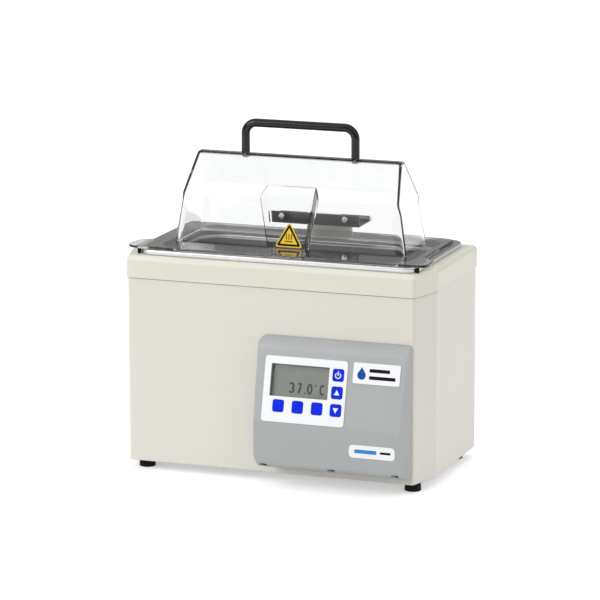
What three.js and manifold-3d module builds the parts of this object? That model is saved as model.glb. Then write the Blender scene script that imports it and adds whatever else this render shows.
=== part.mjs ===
// Heated laboratory water bath with a clear hinged gable lid.
// Units are millimetres, +Z is up and the front faces -Y. The bath stands on Z = 0.
import * as THREE from 'three';
import { mergeVertices } from 'three/addons/utils/BufferGeometryUtils.js';
import Module from 'manifold-3d';

const wasm = await Module();
wasm.setup();

// ---------------------------------------------------------------- driving dimensions
const GAP = 0.3;
const SHEET = 1.5;
const SCREW_HOLE = 2.2;
const SCREW_SHANK = 1.8;
// Cutting tools run this far past a sheet on both sides.
const THROUGH = 10;

// Case and feet. In plan the front corners are narrower than the sides, which flare out to `flareY`.
const CASE = { centreX: -4, halfX: 184, halfY: 96, bottom: 10.5, seam: 224.5, top: 250.5 };
const CASE_PLAN = { frontHalfX: 171.9, flareY: -52, frontCorner: 3.5, flareCorner: 14, rearCorner: 5 };
const CAP_OVERHANG = 1.5;
const CAP_EDGE_RADIUS = 6;
const CAP_WALL = 2;
// The opening in the cap is this much wider than the tank all round.
const CAP_MOUTH = 6;
const FOOT = {
  left: -162.3, right: 160.7, y: 76, radius: 9.5, neck: 8.5, edge: 0.8,
  hole: 2.3, counterbore: 4.2, recess: 5.2,
};
const BASE_PAN = { rise: 12, ventX: 70, ventLength: 46, ventWidth: 4, ventPitch: 12, ventsPerRow: 6 };
const FRONT_OPENING = { x0: 8, x1: 146, z0: 45, z1: 148 };
const REAR_OPENING = { x0: -116, x1: 116, z0: 34, z1: 196 };

// Tank
const TANK = {
  halfX: 150, halfY: 75.5, corner: 30, floor: 106, floorRadius: 14, wall: 1.2, draft: 1.5, stepZ: 243, step: 3.5,
};
const RIM = { halfX: 168, halfY: 87.5, corner: 17, top: 256.5, hem: 1.2, bevel: 1.4 };
const INSULATION = { thickness: 11, bottom: 114, top: 236 };
const TRAY = { halfX: 130, halfY: 55.5, corner: 14, top: 120, footWidth: 8, holeRadius: 4.5 };
const TRAY_HOLES = { columns: 8, rows: 3, pitchX: 30, pitchY: 32 };

// Control fascia on the lower right of the front
const FASCIA = { x0: -13.1, x1: 166.2, z0: 17, z1: 171.5, depth: 35.5, draft: 3, corner: 7, wall: 2.5 };
const FASCIA_SHOULDER = { depth: 15.5, z: 157 };
const FASCIA_CHIN = { z: 77, lowerZ: 34, lip: 10, bend: 10, ease: 3 };
const PANEL_SPAN_Z = FASCIA_SHOULDER.z - FASCIA_CHIN.z;
const PANEL_SPAN_Y = FASCIA.depth - FASCIA_SHOULDER.depth;
const PANEL_TILT = Math.atan2(PANEL_SPAN_Y, PANEL_SPAN_Z);
const PANEL_CENTRE_Z = (FASCIA_SHOULDER.z + FASCIA_CHIN.z) / 2;
const PANEL_CENTRE_DEPTH = (FASCIA_SHOULDER.depth + FASCIA.depth) / 2;
const CONTROL_BOARD = { halfX: 46, halfV: 34, low: -12, high: -10.4 };
const OVERLAY = { x: 48, v: -1.4, width: 98, height: 74, corner: 3.5, thickness: 0.5 };
const SCREEN = { x: 41.2, v: 8.8, width: 69, height: 36.4 };
const WINDOW_THICKNESS = 1.2;
const KEY = { width: 13, height: 13.6, corner: 2.6, proud: 0.7, stem: 4.5, columnX: 86.5, rowV: -20.1 };
const KEY_PITCH_V = 19.7;
const KEY_PITCH_X = 23;
const SOFT_KEY_X = 18.2;
const BADGE = { x: 131.2, v: 23.7, width: 55.2, height: 23.5, corner: 1.6 };
const LABEL = { x: 131.1, v: 54.2, width: 54.2, height: 14.8, corner: 4.5 };
const FASCIA_SCREW = { setback: 7, z: FASCIA.z0 + FASCIA_CHIN.lip + 4, hole: 4 };
const FASCIA_SCREW_X = { left: 1.5, middle: 82.5, right: 158.5 };

// Clear lid
const LID_CENTRE = { x: -0.7, y: -2 };
const LID_WALL = 3;
const FLANGE = { centreX: -2.8, halfX: 164, y0: -84.5, y1: 75, corner: 14 };
const EAR = { x: 180, y: -63, backY: -40, radius: 12 };
const DOME_BASE = { halfX: 140.3, halfY: 44, corner: 10, z: RIM.top + GAP };
const DOME_KINK = { halfX: 130.3, halfY: 38.5, corner: 5, z: 317 };
const DOME_RIDGE = { halfX: 123.5, halfY: 6, corner: 3, z: 360 };
const RECESS = { bottomY: -41.5, bottomHalf: 19, topY: -31, topHalf: 29, topZ: 331, flare: 24 };
const RECESS_LIP = { drop: 5.5, setback: 0.8 };
const HANDLE = { halfSpan: 66.5, radius: 4.9, barZ: 395, bend: 13, boreRadius: 2.3, boreDepth: 12 };
const WASHER = { radius: 4.6, thickness: 0.9 };
const STICKER = { side: 34, corner: 2, lowV: 4, thickness: 0.4 };

// Hinge behind the lid
const HINGE = { x: 1.5, y: 76, z: 276, halfWidth: 54.5, knuckle: 3.6, centreHalf: 20 };
const HINGE_PIN = { radius: 1.6, bore: 1.9, head: 2.6, headHeight: 1.4, proud: 0.8 };
const HINGE_LEAF = { lowZ: 272.4, highZ: 286, thickness: 1.5, screwOffset: 38.7, screwZ: 281 };
const HINGE_STAND = { y: 97.8, lowZ: 233, halfWidth: 26, screwZ: 240, screwOffset: 16 };

// Rear panel and its fittings
const REAR_PANEL = { halfX: 130, z0: 22, z1: 208, corner: 6 };
const REAR_FACE = CASE.halfY + GAP + SHEET;
const LOUVRE = { rows: 8, pitch: 11, width: 62, height: 3.6, lowZ: 92, columns: [-72, 0, 72] };
const INLET = { x: 84, z: 54, width: 56, height: 28, depth: 20 };
const INLET_SOCKET = { offsetX: -11, width: 25, height: 17, depth: 16 };
const INLET_PIN = { pitch: 7, offset: 2, halfWidth: 1, halfHeight: 2, setback: 7 };
const FUSE = { offsetX: 17.5, width: 15, height: 19, depth: 14 };
const SWITCH = { x: 36, z: 54, width: 21, height: 28, rockerWidth: 12.5, rockerHeight: 20, depth: 14 };
const REAR_SCREW = { x: 123, lowZ: 30, highZ: 200 };

// The keypad reaches furthest forward and the screws of the hinge stand furthest back.
const FASCIA_FRONT = CASE.halfY + FASCIA.depth;
const BEZEL = 2.4;
const BEZEL_EDGE = 2;
const ROCKER_RISE = 0.8;
const ROCKER_DEPTH = 7;
const KEYPAD_REACH = 0.9;
const BEZEL_FACE = REAR_FACE + GAP + BEZEL;
const REAR_REACH = BEZEL_FACE + ROCKER_RISE;
const FRONT_REACH = FASCIA_FRONT + KEYPAD_REACH;
const BODY_CENTRE_Y = (FRONT_REACH - REAR_REACH) / 2;

// ---------------------------------------------------------------- solids and booleans
const CORNER_STEPS = 4;

function toSolid(geometry) {
  const bare = geometry.index ? geometry.toNonIndexed() : geometry.clone();
  for (const name of ['normal', 'uv']) bare.deleteAttribute(name);
  const merged = mergeVertices(bare, 1e-4);
  return new wasm.Manifold(new wasm.Mesh({
    numProp: 3,
    vertProperties: new Float32Array(merged.attributes.position.array),
    triVerts: new Uint32Array(merged.index.array),
  }));
}

function toGeometry(solid) {
  const mesh = solid.getMesh();
  const geometry = new THREE.BufferGeometry();
  geometry.setAttribute('position', new THREE.BufferAttribute(new Float32Array(mesh.vertProperties), 3));
  geometry.setIndex(new THREE.BufferAttribute(new Uint32Array(mesh.triVerts), 1));
  return geometry;
}

function cut(base, ...tools) {
  return tools.reduce((solid, tool) => solid.subtract(toSolid(tool)), toSolid(base));
}

function cutAll(geometry, ...tools) {
  return toGeometry(cut(geometry, ...tools));
}

function join(...geometries) {
  const [first, ...rest] = geometries;
  return toGeometry(rest.reduce((solid, piece) => solid.add(toSolid(piece)), toSolid(first)));
}

function overlap(first, second) {
  return toGeometry(toSolid(first).intersect(toSolid(second)));
}

// ---------------------------------------------------------------- basic shapes
function block(x0, x1, y0, y1, z0, z1) {
  const geometry = new THREE.BoxGeometry(x1 - x0, y1 - y0, z1 - z0);
  return geometry.translate((x0 + x1) / 2, (y0 + y1) / 2, (z0 + z1) / 2);
}

function roundedRectangle(halfX, halfY, radius, centreX = 0, centreY = 0) {
  const shape = new THREE.Shape();
  const [innerX, innerY] = [halfX - radius, halfY - radius];
  const quarter = Math.PI / 2;
  shape.moveTo(centreX + halfX, centreY - innerY);
  shape.absarc(centreX + innerX, centreY + innerY, radius, 0, quarter);
  shape.absarc(centreX - innerX, centreY + innerY, radius, quarter, 2 * quarter);
  shape.absarc(centreX - innerX, centreY - innerY, radius, 2 * quarter, 3 * quarter);
  shape.absarc(centreX + innerX, centreY - innerY, radius, 3 * quarter, 4 * quarter);
  return shape;
}

// Plan outline of the case, moved inwards by `inset`, with `steps` points on each corner.
function caseOutline(inset, steps = CORNER_STEPS) {
  const { frontHalfX, flareY, frontCorner, flareCorner, rearCorner } = CASE_PLAN;
  const flare = Math.atan2(CASE.halfX - frontHalfX, flareY + CASE.halfY);
  const radii = [frontCorner, flareCorner, rearCorner].map((radius) => Math.max(radius - inset, 0.5));
  const front = -CASE.halfY + inset;
  const cornerX = frontHalfX - inset * ((1 - Math.sin(flare)) / Math.cos(flare));
  const side = CASE.halfX - inset;
  const bendY = flareY + inset * Math.tan(flare / 2);
  const arcs = [
    [cornerX - radii[0] * ((1 - Math.sin(flare)) / Math.cos(flare)), front + radii[0], -Math.PI / 2, -flare],
    [side - radii[1], bendY + radii[1] * Math.tan(flare / 2), -flare, 0],
    [side - radii[2], CASE.halfY - inset - radii[2], 0, Math.PI / 2],
  ];
  const right = arcs.flatMap(([x, y, start, end], corner) => Array.from({ length: steps + 1 }, (_, step) => {
    const angle = THREE.MathUtils.lerp(start, end, step / steps);
    return new THREE.Vector2(x + radii[corner] * Math.cos(angle), y + radii[corner] * Math.sin(angle));
  }));
  const left = right.map(({ x, y }) => new THREE.Vector2(-x, y)).reverse();
  return [...right, ...left].map(({ x, y }) => new THREE.Vector2(x + CASE.centreX, y));
}

function slab(shape, z0, z1, steps = CORNER_STEPS) {
  const options = { depth: z1 - z0, bevelEnabled: false, curveSegments: steps };
  return new THREE.ExtrudeGeometry(shape, options).translate(0, 0, z0);
}

// A closed skin through a stack of outlines with the same number of points.
function loft(rings) {
  const count = rings[0].length;
  const points = rings.flat();
  const faces = [];
  for (let level = 0; level + 1 < rings.length; level += 1) {
    for (let i = 0; i < count; i += 1) {
      const next = (i + 1) % count;
      const [a, b] = [level * count + i, level * count + next];
      const [c, d] = [a + count, b + count];
      faces.push(a, b, d, a, d, c);
    }
  }
  const top = (rings.length - 1) * count;
  for (let i = 1; i + 1 < count; i += 1) {
    faces.push(0, i + 1, i, top, top + i, top + i + 1);
  }
  const geometry = new THREE.BufferGeometry().setFromPoints(points);
  geometry.setIndex(faces);
  return geometry;
}

function ring({ halfX, halfY, corner, z }, centre = { x: 0, y: 0 }, inset = 0, steps = CORNER_STEPS) {
  const radius = Math.max(corner - inset, 0.5);
  const outline = [];
  for (let quarter = 0; quarter < 4; quarter += 1) {
    const signX = quarter === 0 || quarter === 3 ? 1 : -1;
    const signY = quarter < 2 ? 1 : -1;
    for (let step = 0; step <= steps; step += 1) {
      const angle = (quarter + step / steps) * (Math.PI / 2);
      outline.push(new THREE.Vector3(
        centre.x + signX * (halfX - inset - radius) + radius * Math.cos(angle),
        centre.y + signY * (halfY - inset - radius) + radius * Math.sin(angle),
        z,
      ));
    }
  }
  return outline;
}

// A turned solid about an axis through `at`; `profile` holds [radius, height] pairs.
function turned(profile, at, axis = 'z', sides = 16) {
  const points = profile.map(([radius, height]) => new THREE.Vector2(radius, height));
  const geometry = new THREE.LatheGeometry(points, sides);
  if (axis === 'z') geometry.rotateX(Math.PI / 2);
  if (axis === 'x') geometry.rotateZ(-Math.PI / 2);
  return geometry.translate(at[0], at[1], at[2]);
}

function rod(radius, from, to, at, axis = 'z', sides = 16) {
  return turned([[0, from], [radius, from], [radius, to], [0, to]], at, axis, sides);
}

// A pan-head screw along `axis`: the head is under `seat` and the shank runs from there to `tip`.
function panScrew(at, axis, seat, tip, sides = 12) {
  const [head, chamfer, height] = [3.8, 0.9, 2.2];
  const way = Math.sign(tip - seat);
  const profile = [
    [0, seat - way * height], [head - chamfer, seat - way * height], [head, seat - way * (height - chamfer)],
    [head, seat], [SCREW_SHANK, seat], [SCREW_SHANK, tip], [0, tip],
  ];
  return turned(way > 0 ? profile : profile.reverse(), at, axis, sides);
}

function prismAlongX(points, x0, x1) {
  const shape = new THREE.Shape(points.map(([y, z]) => new THREE.Vector2(y, z)));
  const geometry = new THREE.ExtrudeGeometry(shape, { depth: x1 - x0, bevelEnabled: false });
  geometry.applyMatrix4(new THREE.Matrix4().set(0, 0, 1, x0, 1, 0, 0, 0, 0, 1, 0, 0, 0, 0, 0, 1));
  return geometry;
}

function tubeAlong(curve, radius, sides, steps) {
  const section = new THREE.Shape();
  section.absarc(0, 0, radius, 0, 2 * Math.PI);
  const options = { extrudePath: curve, steps, curveSegments: sides, bevelEnabled: false };
  return new THREE.ExtrudeGeometry(section, options);
}

// ---------------------------------------------------------------- materials and placing
const FINISHES = {
  cream_paint: { color: 0xdedbd0, roughness: 0.42, metalness: 0.0 },
  grey_plastic: { color: 0xa9abac, roughness: 0.5, metalness: 0.0 },
  stainless: { color: 0xa8a9a8, roughness: 0.28, metalness: 1.0 },
  dark_steel: { color: 0x59595a, roughness: 0.35, metalness: 1.0 },
  zinc_screw: { color: 0xb8babb, roughness: 0.3, metalness: 1.0 },
  black_rubber: { color: 0x161616, roughness: 0.8, metalness: 0.0 },
  black_gloss: { color: 0x101011, roughness: 0.15, metalness: 0.0 },
  black_plastic: { color: 0x1b1b1c, roughness: 0.45, metalness: 0.0 },
  clear_sheet: { color: 0xf2f5f6, roughness: 0.05, metalness: 0.0, transparent: true, opacity: 0.3 },
  white_film: { color: 0xf7f8fa, roughness: 0.4, metalness: 0.0 },
  blue_key: { color: 0x1c35c4, roughness: 0.38, metalness: 0.0 },
  screen_green: { color: 0x8c9087, roughness: 0.3, metalness: 0.0 },
  yellow_film: { color: 0xf2c417, roughness: 0.4, metalness: 0.0 },
  foam_wool: { color: 0xc9c3b2, roughness: 0.95, metalness: 0.0 },
  heater_silicone: { color: 0x9c4a33, roughness: 0.7, metalness: 0.0 },
  circuit_green: { color: 0x2b5a3a, roughness: 0.5, metalness: 0.0 },
  copper_coil: { color: 0xa1622f, roughness: 0.5, metalness: 0.6 },
  red_lead: { color: 0x8e2a22, roughness: 0.55, metalness: 0.0 },
};

const bath = new THREE.Group();
bath.position.set(-CASE.centreX, BODY_CENTRE_Y, 0);

// The sloping face of the fascia: local X runs right, local Y up the slope, local Z out of it.
const panel = new THREE.Group();
panel.position.set(0, -CASE.halfY - PANEL_CENTRE_DEPTH, PANEL_CENTRE_Z);
panel.rotation.x = Math.PI / 2 - PANEL_TILT;
panel.updateMatrix();
bath.add(panel);

// The upright face below the keypad: local X runs right, local Y up, local Z out of it.
const lowerFace = new THREE.Group();
lowerFace.position.set(0, -FASCIA_FRONT, 0);
lowerFace.rotation.x = Math.PI / 2;
bath.add(lowerFace);

// The back wall of the lid's recess, which leans back as it rises.
const recessWall = new THREE.Group();
const RECESS_TILT = Math.atan2(RECESS.topY - RECESS.bottomY, RECESS.topZ - DOME_BASE.z);
recessWall.position.set(LID_CENTRE.x, RECESS.bottomY, DOME_BASE.z);
recessWall.rotation.x = Math.PI / 2 - RECESS_TILT;
bath.add(recessWall);

function addPart(name, finish, geometry, parent = bath) {
  geometry.computeVertexNormals();
  const mesh = new THREE.Mesh(geometry, new THREE.MeshStandardMaterial(FINISHES[finish]));
  mesh.name = name;
  parent.add(mesh);
}

function onPanel(geometry) {
  return geometry.applyMatrix4(panel.matrix);
}

// A clearance hole along Y through the point `at`.
function screwHole(at, sides = 10) {
  return rod(SCREW_HOLE, -THROUGH, THROUGH, at, 'y', sides);
}

// ---------------------------------------------------------------- case
function outerCase() {
  const shape = new THREE.Shape(caseOutline(0));
  shape.holes.push(new THREE.Path(caseOutline(SHEET)));
  const front = block(FRONT_OPENING.x0, FRONT_OPENING.x1, -CASE.halfY - THROUGH, -CASE.halfY + THROUGH,
    FRONT_OPENING.z0, FRONT_OPENING.z1);
  const rear = block(REAR_OPENING.x0, REAR_OPENING.x1, CASE.halfY - THROUGH, CASE.halfY + THROUGH,
    REAR_OPENING.z0, REAR_OPENING.z1);
  const holes = rearScrewPlaces().map(([x, z]) => screwHole([x, CASE.halfY, z], 8));
  return cutAll(slab(shape, CASE.bottom, CASE.seam - GAP), front, rear, ...holes);
}

function basePan() {
  const inset = SHEET + GAP;
  const low = CASE.bottom + GAP;
  const outside = slab(new THREE.Shape(caseOutline(inset)), low, low + BASE_PAN.rise);
  const inside = slab(new THREE.Shape(caseOutline(inset + SHEET)), low + SHEET, low + BASE_PAN.rise + THROUGH);
  const vents = [];
  for (const side of [-1, 1]) {
    for (let i = 0; i < BASE_PAN.ventsPerRow; i += 1) {
      const y = (i - (BASE_PAN.ventsPerRow - 1) / 2) * BASE_PAN.ventPitch;
      const x = side * BASE_PAN.ventX;
      vents.push(block(x - BASE_PAN.ventLength / 2, x + BASE_PAN.ventLength / 2,
        y - BASE_PAN.ventWidth / 2, y + BASE_PAN.ventWidth / 2, low - THROUGH, low + THROUGH));
    }
  }
  const holes = footPlaces().map(({ x, y }) => rod(FOOT.hole, -THROUGH, THROUGH, [x, y, low], 'z', 10));
  return cutAll(outside, inside, ...vents, ...holes);
}

function footPlaces() {
  return [
    { name: 'front_left', x: FOOT.left, y: -FOOT.y },
    { name: 'front_right', x: FOOT.right, y: -FOOT.y },
    { name: 'rear_left', x: FOOT.left, y: FOOT.y },
    { name: 'rear_right', x: FOOT.right, y: FOOT.y },
  ];
}

function foot({ x, y }) {
  const top = CASE.bottom;
  const profile = [
    [FOOT.hole, FOOT.recess], [FOOT.counterbore, FOOT.recess], [FOOT.counterbore, 0],
    [FOOT.neck - FOOT.edge, 0], [FOOT.neck, FOOT.edge], [FOOT.radius, top - 1], [FOOT.radius, top],
    [FOOT.hole, top], [FOOT.hole, FOOT.recess],
  ];
  return turned(profile, [x, y, 0], 'z', 20);
}

function footScrew({ x, y }) {
  const seat = FOOT.recess - GAP;
  return panScrew([x, y, 0], 'z', seat, CASE.bottom + 8, 12);
}

function topCover() {
  const outerY = CASE.halfY + CAP_OVERHANG;
  const low = CASE.seam + GAP;
  const [skirt, rounded] = [CAP_WALL, CAP_EDGE_RADIUS];
  const levels = [low];
  const insets = [0];
  for (let step = 0; step <= 3; step += 1) {
    const angle = (step / 3) * (Math.PI / 2);
    levels.push(CASE.top - rounded + rounded * Math.sin(angle));
    insets.push(rounded - rounded * Math.cos(angle));
  }
  const shell = (inward, drop) => loft(levels.map((z, i) => caseOutline(insets[i] + inward - CAP_OVERHANG)
    .map(({ x, y }) => new THREE.Vector3(x, y, i ? z - drop : z - 2 * drop))));
  const mouth = slab(roundedRectangle(TANK.halfX + CAP_MOUTH, TANK.halfY + CAP_MOUTH, TANK.corner + CAP_MOUTH),
    CASE.seam, CASE.top + THROUGH, 6);
  const screws = standScrewPlaces().map((x) => screwHole([x, outerY, HINGE_STAND.screwZ], 8));
  return cutAll(shell(0, 0), shell(skirt, skirt), mouth, ...screws);
}

// ---------------------------------------------------------------- tank
function tankRings(growth) {
  const { halfX, halfY, corner, floor, step, stepZ, floorRadius } = TANK;
  const rings = [];
  const wallInset = step + TANK.draft;
  for (let i = 0; i <= 3; i += 1) {
    const angle = (i / 3) * (Math.PI / 2);
    const inset = wallInset + floorRadius * (1 - Math.sin(angle)) - growth;
    const z = floor - growth + floorRadius * (1 - Math.cos(angle));
    rings.push(ring({ halfX, halfY, corner, z }, undefined, inset, 6));
  }
  rings.push(ring({ halfX, halfY, corner, z: stepZ - growth }, undefined, step - growth, 6));
  rings.push(ring({ halfX, halfY, corner, z: stepZ + 2 - growth }, undefined, -growth, 6));
  rings.push(ring({ halfX, halfY, corner, z: RIM.top + (growth ? 0 : THROUGH) }, undefined, -growth, 6));
  return rings;
}

function tank() {
  const low = CASE.top + GAP;
  const { halfX, halfY, corner, top } = RIM;
  const rim = loft([
    ring({ halfX, halfY, corner, z: low }, undefined, 0, 5),
    ring({ halfX, halfY, corner, z: top - RIM.bevel }, undefined, 0, 5),
    ring({ halfX, halfY, corner, z: top }, undefined, RIM.bevel, 5),
  ]);
  const hollow = loft([
    ring({ halfX, halfY, corner, z: low - THROUGH }, undefined, RIM.hem, 5),
    ring({ halfX, halfY, corner, z: top - RIM.bevel - GAP / 2 }, undefined, RIM.hem, 5),
  ]);
  const skirt = toSolid(rim).subtract(toSolid(hollow));
  const basin = toSolid(loft(tankRings(TANK.wall)));
  return toGeometry(skirt.add(basin).subtract(toSolid(loft(tankRings(0)))));
}

function tankInsulation() {
  const inset = TANK.step - TANK.wall - GAP;
  const { halfX, halfY, corner } = TANK;
  const outside = roundedRectangle(halfX - inset + INSULATION.thickness, halfY - inset + INSULATION.thickness,
    corner + INSULATION.thickness - inset);
  outside.holes.push(roundedRectangle(halfX - inset, halfY - inset, corner - inset));
  return slab(outside, INSULATION.bottom, INSULATION.top, 6);
}

function diffuserTray() {
  const { halfX, halfY, corner, top, footWidth, holeRadius } = TRAY;
  const { columns, rows, pitchX, pitchY } = TRAY_HOLES;
  const low = TANK.floor + GAP;
  const solid = slab(roundedRectangle(halfX, halfY, corner), low, top);
  const innerX = halfX - footWidth;
  const under = block(-innerX, innerX, -halfY + SHEET, halfY - SHEET, low - THROUGH, top - SHEET);
  const through = block(-halfX - THROUGH, halfX + THROUGH, -halfY + corner, halfY - corner,
    low - THROUGH, top - SHEET);
  const drills = [];
  for (let i = 0; i < columns; i += 1) {
    for (let j = 0; j < rows; j += 1) {
      const x = (i - (columns - 1) / 2) * pitchX;
      const y = (j - (rows - 1) / 2) * pitchY;
      drills.push(rod(holeRadius, -SHEET * 2, SHEET * 2, [x, y, top], 'z', 8));
    }
  }
  return cutAll(solid, under, through, ...drills);
}

// ---------------------------------------------------------------- parts inside the case
const UNDER_TANK = TANK.floor - TANK.wall - GAP;
const HEATER = { halfX: 110, halfY: 50, corner: 8, thickness: 3.2 };
const UNDER_HEATER = UNDER_TANK - HEATER.thickness - GAP;
const PAN_TOP = CASE.bottom + GAP + SHEET + GAP;
const PROBE = { x: 60, radius: 3, halfLength: 22, clipHalfX: 10, clipHalfY: 8, drop: 4 };
const CUTOUT = { x: -60, flange: 9, can: 6, flangeHeight: 4, height: 9, bladeX: 4, bladeDrop: 18 };
const BOARD = { x0: -148, x1: -38, y0: -48, y1: 48, z: 26 };
const BOARD_THICKNESS = 1.6;
const BOARD_PARTS = [
  { x: -130, y: 20, width: 22, length: 16, height: 16 },
  { x: -85, y: 32, width: 60, length: 10, height: 34 },
  { x: -80, y: -36, width: 50, length: 12, height: 14 },
  { x: -125, y: -22, width: 14, length: 14, height: 22 },
];
const TRANSFORMER = { x: 40, y: 20, halfX: 28, halfY: 14, height: 46, windowX: 9, yoke: 9 };
const TRANSFORMER_FOOT = { halfX: 36, height: 4 };

function heaterPad() {
  const shape = roundedRectangle(HEATER.halfX, HEATER.halfY, HEATER.corner);
  return slab(shape, UNDER_TANK - HEATER.thickness, UNDER_TANK, 3);
}

function tankProbe() {
  const { x, radius, halfLength, clipHalfX, clipHalfY, drop } = PROBE;
  const z = UNDER_HEATER - drop;
  const sheath = rod(radius, -halfLength, halfLength, [x, 0, z], 'x', 12);
  const clip = block(x - clipHalfX, x + clipHalfX, -clipHalfY, clipHalfY, z - drop, UNDER_HEATER - GAP / 3);
  return join(sheath, clip);
}

function overtempCutout() {
  const { x, flange, can, flangeHeight, height, bladeX, bladeDrop } = CUTOUT;
  const [top, step, low] = [UNDER_HEATER, UNDER_HEATER - flangeHeight, UNDER_HEATER - height];
  const disc = turned([[0, low], [can, low], [can, step], [flange, step], [flange, top], [0, top]], [x, 0, 0]);
  const blades = [-1, 1].map((side) => {
    const middle = x + side * bladeX;
    return block(middle - SHEET / 2, middle + SHEET / 2, -can / 2, can / 2, top - bladeDrop, low + 1);
  });
  return join(disc, ...blades);
}

function powerBoard() {
  const { x0, x1, y0, y1, z } = BOARD;
  const [post, setback] = [3, 6];
  const parts = [block(x0, x1, y0, y1, z, z + BOARD_THICKNESS)];
  for (const x of [x0 + setback, x1 - setback]) {
    for (const y of [y0 + setback, y1 - setback]) {
      parts.push(rod(post, PAN_TOP, z + BOARD_THICKNESS / 2, [x, y, 0], 'z', 8));
    }
  }
  for (const { x, y, width, length, height } of BOARD_PARTS) {
    parts.push(block(x - width / 2, x + width / 2, y - length / 2, y + length / 2,
      z + BOARD_THICKNESS / 2, z + BOARD_THICKNESS + height));
  }
  return join(...parts);
}

// Laminated core with a foot plate; the windows beside its middle limb take the coil.
function transformerCore() {
  const { x, y, halfX, halfY, height, windowX, yoke } = TRANSFORMER;
  const foot = TRANSFORMER_FOOT;
  const base = PAN_TOP + foot.height - 1;
  const core = block(x - halfX, x + halfX, y - halfY, y + halfY, base, base + height);
  const windows = [-1, 1].map((side) => {
    const middle = x + side * windowX * 1.5;
    return block(middle - windowX / 2, middle + windowX / 2, y - halfY - THROUGH, y + halfY + THROUGH,
      base + yoke + 1, base + height - yoke - 1);
  });
  const plate = block(x - foot.halfX, x + foot.halfX, y - halfY, y + halfY, PAN_TOP, PAN_TOP + foot.height);
  return join(cutAll(core, ...windows), plate);
}

function transformerCoil() {
  const { x, y, halfY, height, windowX, yoke } = TRANSFORMER;
  const clear = GAP + 0.1;
  const base = PAN_TOP + TRANSFORMER_FOOT.height - 1;
  const [low, high] = [base + yoke + 1 + clear, base + height - yoke - 1 - clear];
  const [halfWidth, reach] = [windowX * 2 - clear - 0.2, halfY + 11];
  const coil = slab(roundedRectangle(halfWidth, reach, 6, x, y), low, high);
  const limb = block(x - windowX - clear, x + windowX + clear, y - halfY - clear, y + halfY + clear,
    low - THROUGH, high + THROUGH);
  return cutAll(coil, limb);
}

// An insulated lead whose centre line runs smoothly through the points.
function lead(radius, ...points) {
  const route = new THREE.CatmullRomCurve3(points.map(([x, y, z]) => new THREE.Vector3(x, y, z)));
  return tubeAlong(route, radius, 4, 20);
}

function heaterLead() {
  const terminals = BOARD_PARTS[2];
  const low = BOARD.z + BOARD_THICKNESS + terminals.height + GAP;
  const { x, y } = terminals;
  return lead(2.2, [x - 15, y, low], [x - 15, y, low + 12], [x - 22, y + 10, (low + UNDER_HEATER) / 2],
    [x - 15, y + 22, UNDER_HEATER - 12], [x - 15, y + 22, UNDER_HEATER]);
}

function probeLead() {
  const start = PROBE.x + PROBE.halfLength + GAP;
  const z = UNDER_HEATER - PROBE.drop;
  const end = new THREE.Vector3(start, OVERLAY.v - 28, CONTROL_BOARD.low - 3 * GAP).applyMatrix4(panel.matrix);
  return lead(1.6, [start, 0, z], [start + 8, -2, z], [start + 10, -30, z - 10], [start, end.y + 30, end.z],
    [start, end.y + 8, end.z], end.toArray());
}

// Mains wiring from the back of the inlet to the side of the terminals on the power board.
function mainsLead() {
  const terminals = BOARD_PARTS[2];
  const x = terminals.x + terminals.width / 2 + GAP;
  const z = BOARD.z + BOARD_THICKNESS + terminals.height / 2;
  const inletBack = REAR_FACE - INLET.depth;
  const startX = INLET.x + INLET_SOCKET.offsetX;
  return lead(2.6, [startX, inletBack, INLET.z], [startX, inletBack - 8, INLET.z],
    [startX - 60, inletBack - 16, z + 4], [x + 30, 0, z + 4], [x + 24, terminals.y, z],
    [x + 8, terminals.y, z], [x, terminals.y, z]);
}

// ---------------------------------------------------------------- control fascia
// Side profile of the fascia: how far it stands off the case at each height.
function fasciaProfile(inset) {
  const back = -CASE.halfY - GAP + (inset ? 5 : 0);
  const face = (depth) => -CASE.halfY - depth + inset;
  const points = [[back, FASCIA.z0 + inset], [back, FASCIA.z1 - inset], [face(2), FASCIA.z1 - inset]];
  const lean = Math.tan(PANEL_TILT);
  const start = new THREE.Vector2(2, FASCIA.z1 - 1 - inset);
  const bend = new THREE.Vector2(FASCIA_SHOULDER.depth - lean * 9, FASCIA_SHOULDER.z + 9 - inset);
  const end = new THREE.Vector2(FASCIA_SHOULDER.depth, FASCIA_SHOULDER.z - inset / 2);
  const shoulder = new THREE.QuadraticBezierCurve(start, bend, end);
  for (const { x, y } of shoulder.getPoints(5)) points.push([face(x), y]);
  const chin = new THREE.QuadraticBezierCurve(
    new THREE.Vector2(FASCIA.depth - lean * FASCIA_CHIN.ease, FASCIA_CHIN.z + FASCIA_CHIN.ease),
    new THREE.Vector2(FASCIA.depth, FASCIA_CHIN.z),
    new THREE.Vector2(FASCIA.depth, FASCIA_CHIN.z - FASCIA_CHIN.bend),
  );
  for (const { x, y } of chin.getPoints(4)) points.push([face(x), y]);
  const lip = new THREE.QuadraticBezierCurve(
    new THREE.Vector2(FASCIA.depth, FASCIA_CHIN.lowerZ + inset),
    new THREE.Vector2(FASCIA.depth, FASCIA.z0 + FASCIA_CHIN.lip + inset),
    new THREE.Vector2(FASCIA.depth - 6, FASCIA.z0 + FASCIA_CHIN.lip - 1 + inset),
  );
  for (const { x, y } of lip.getPoints(3)) points.push([face(x), y]);
  return points.reverse();
}

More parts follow.
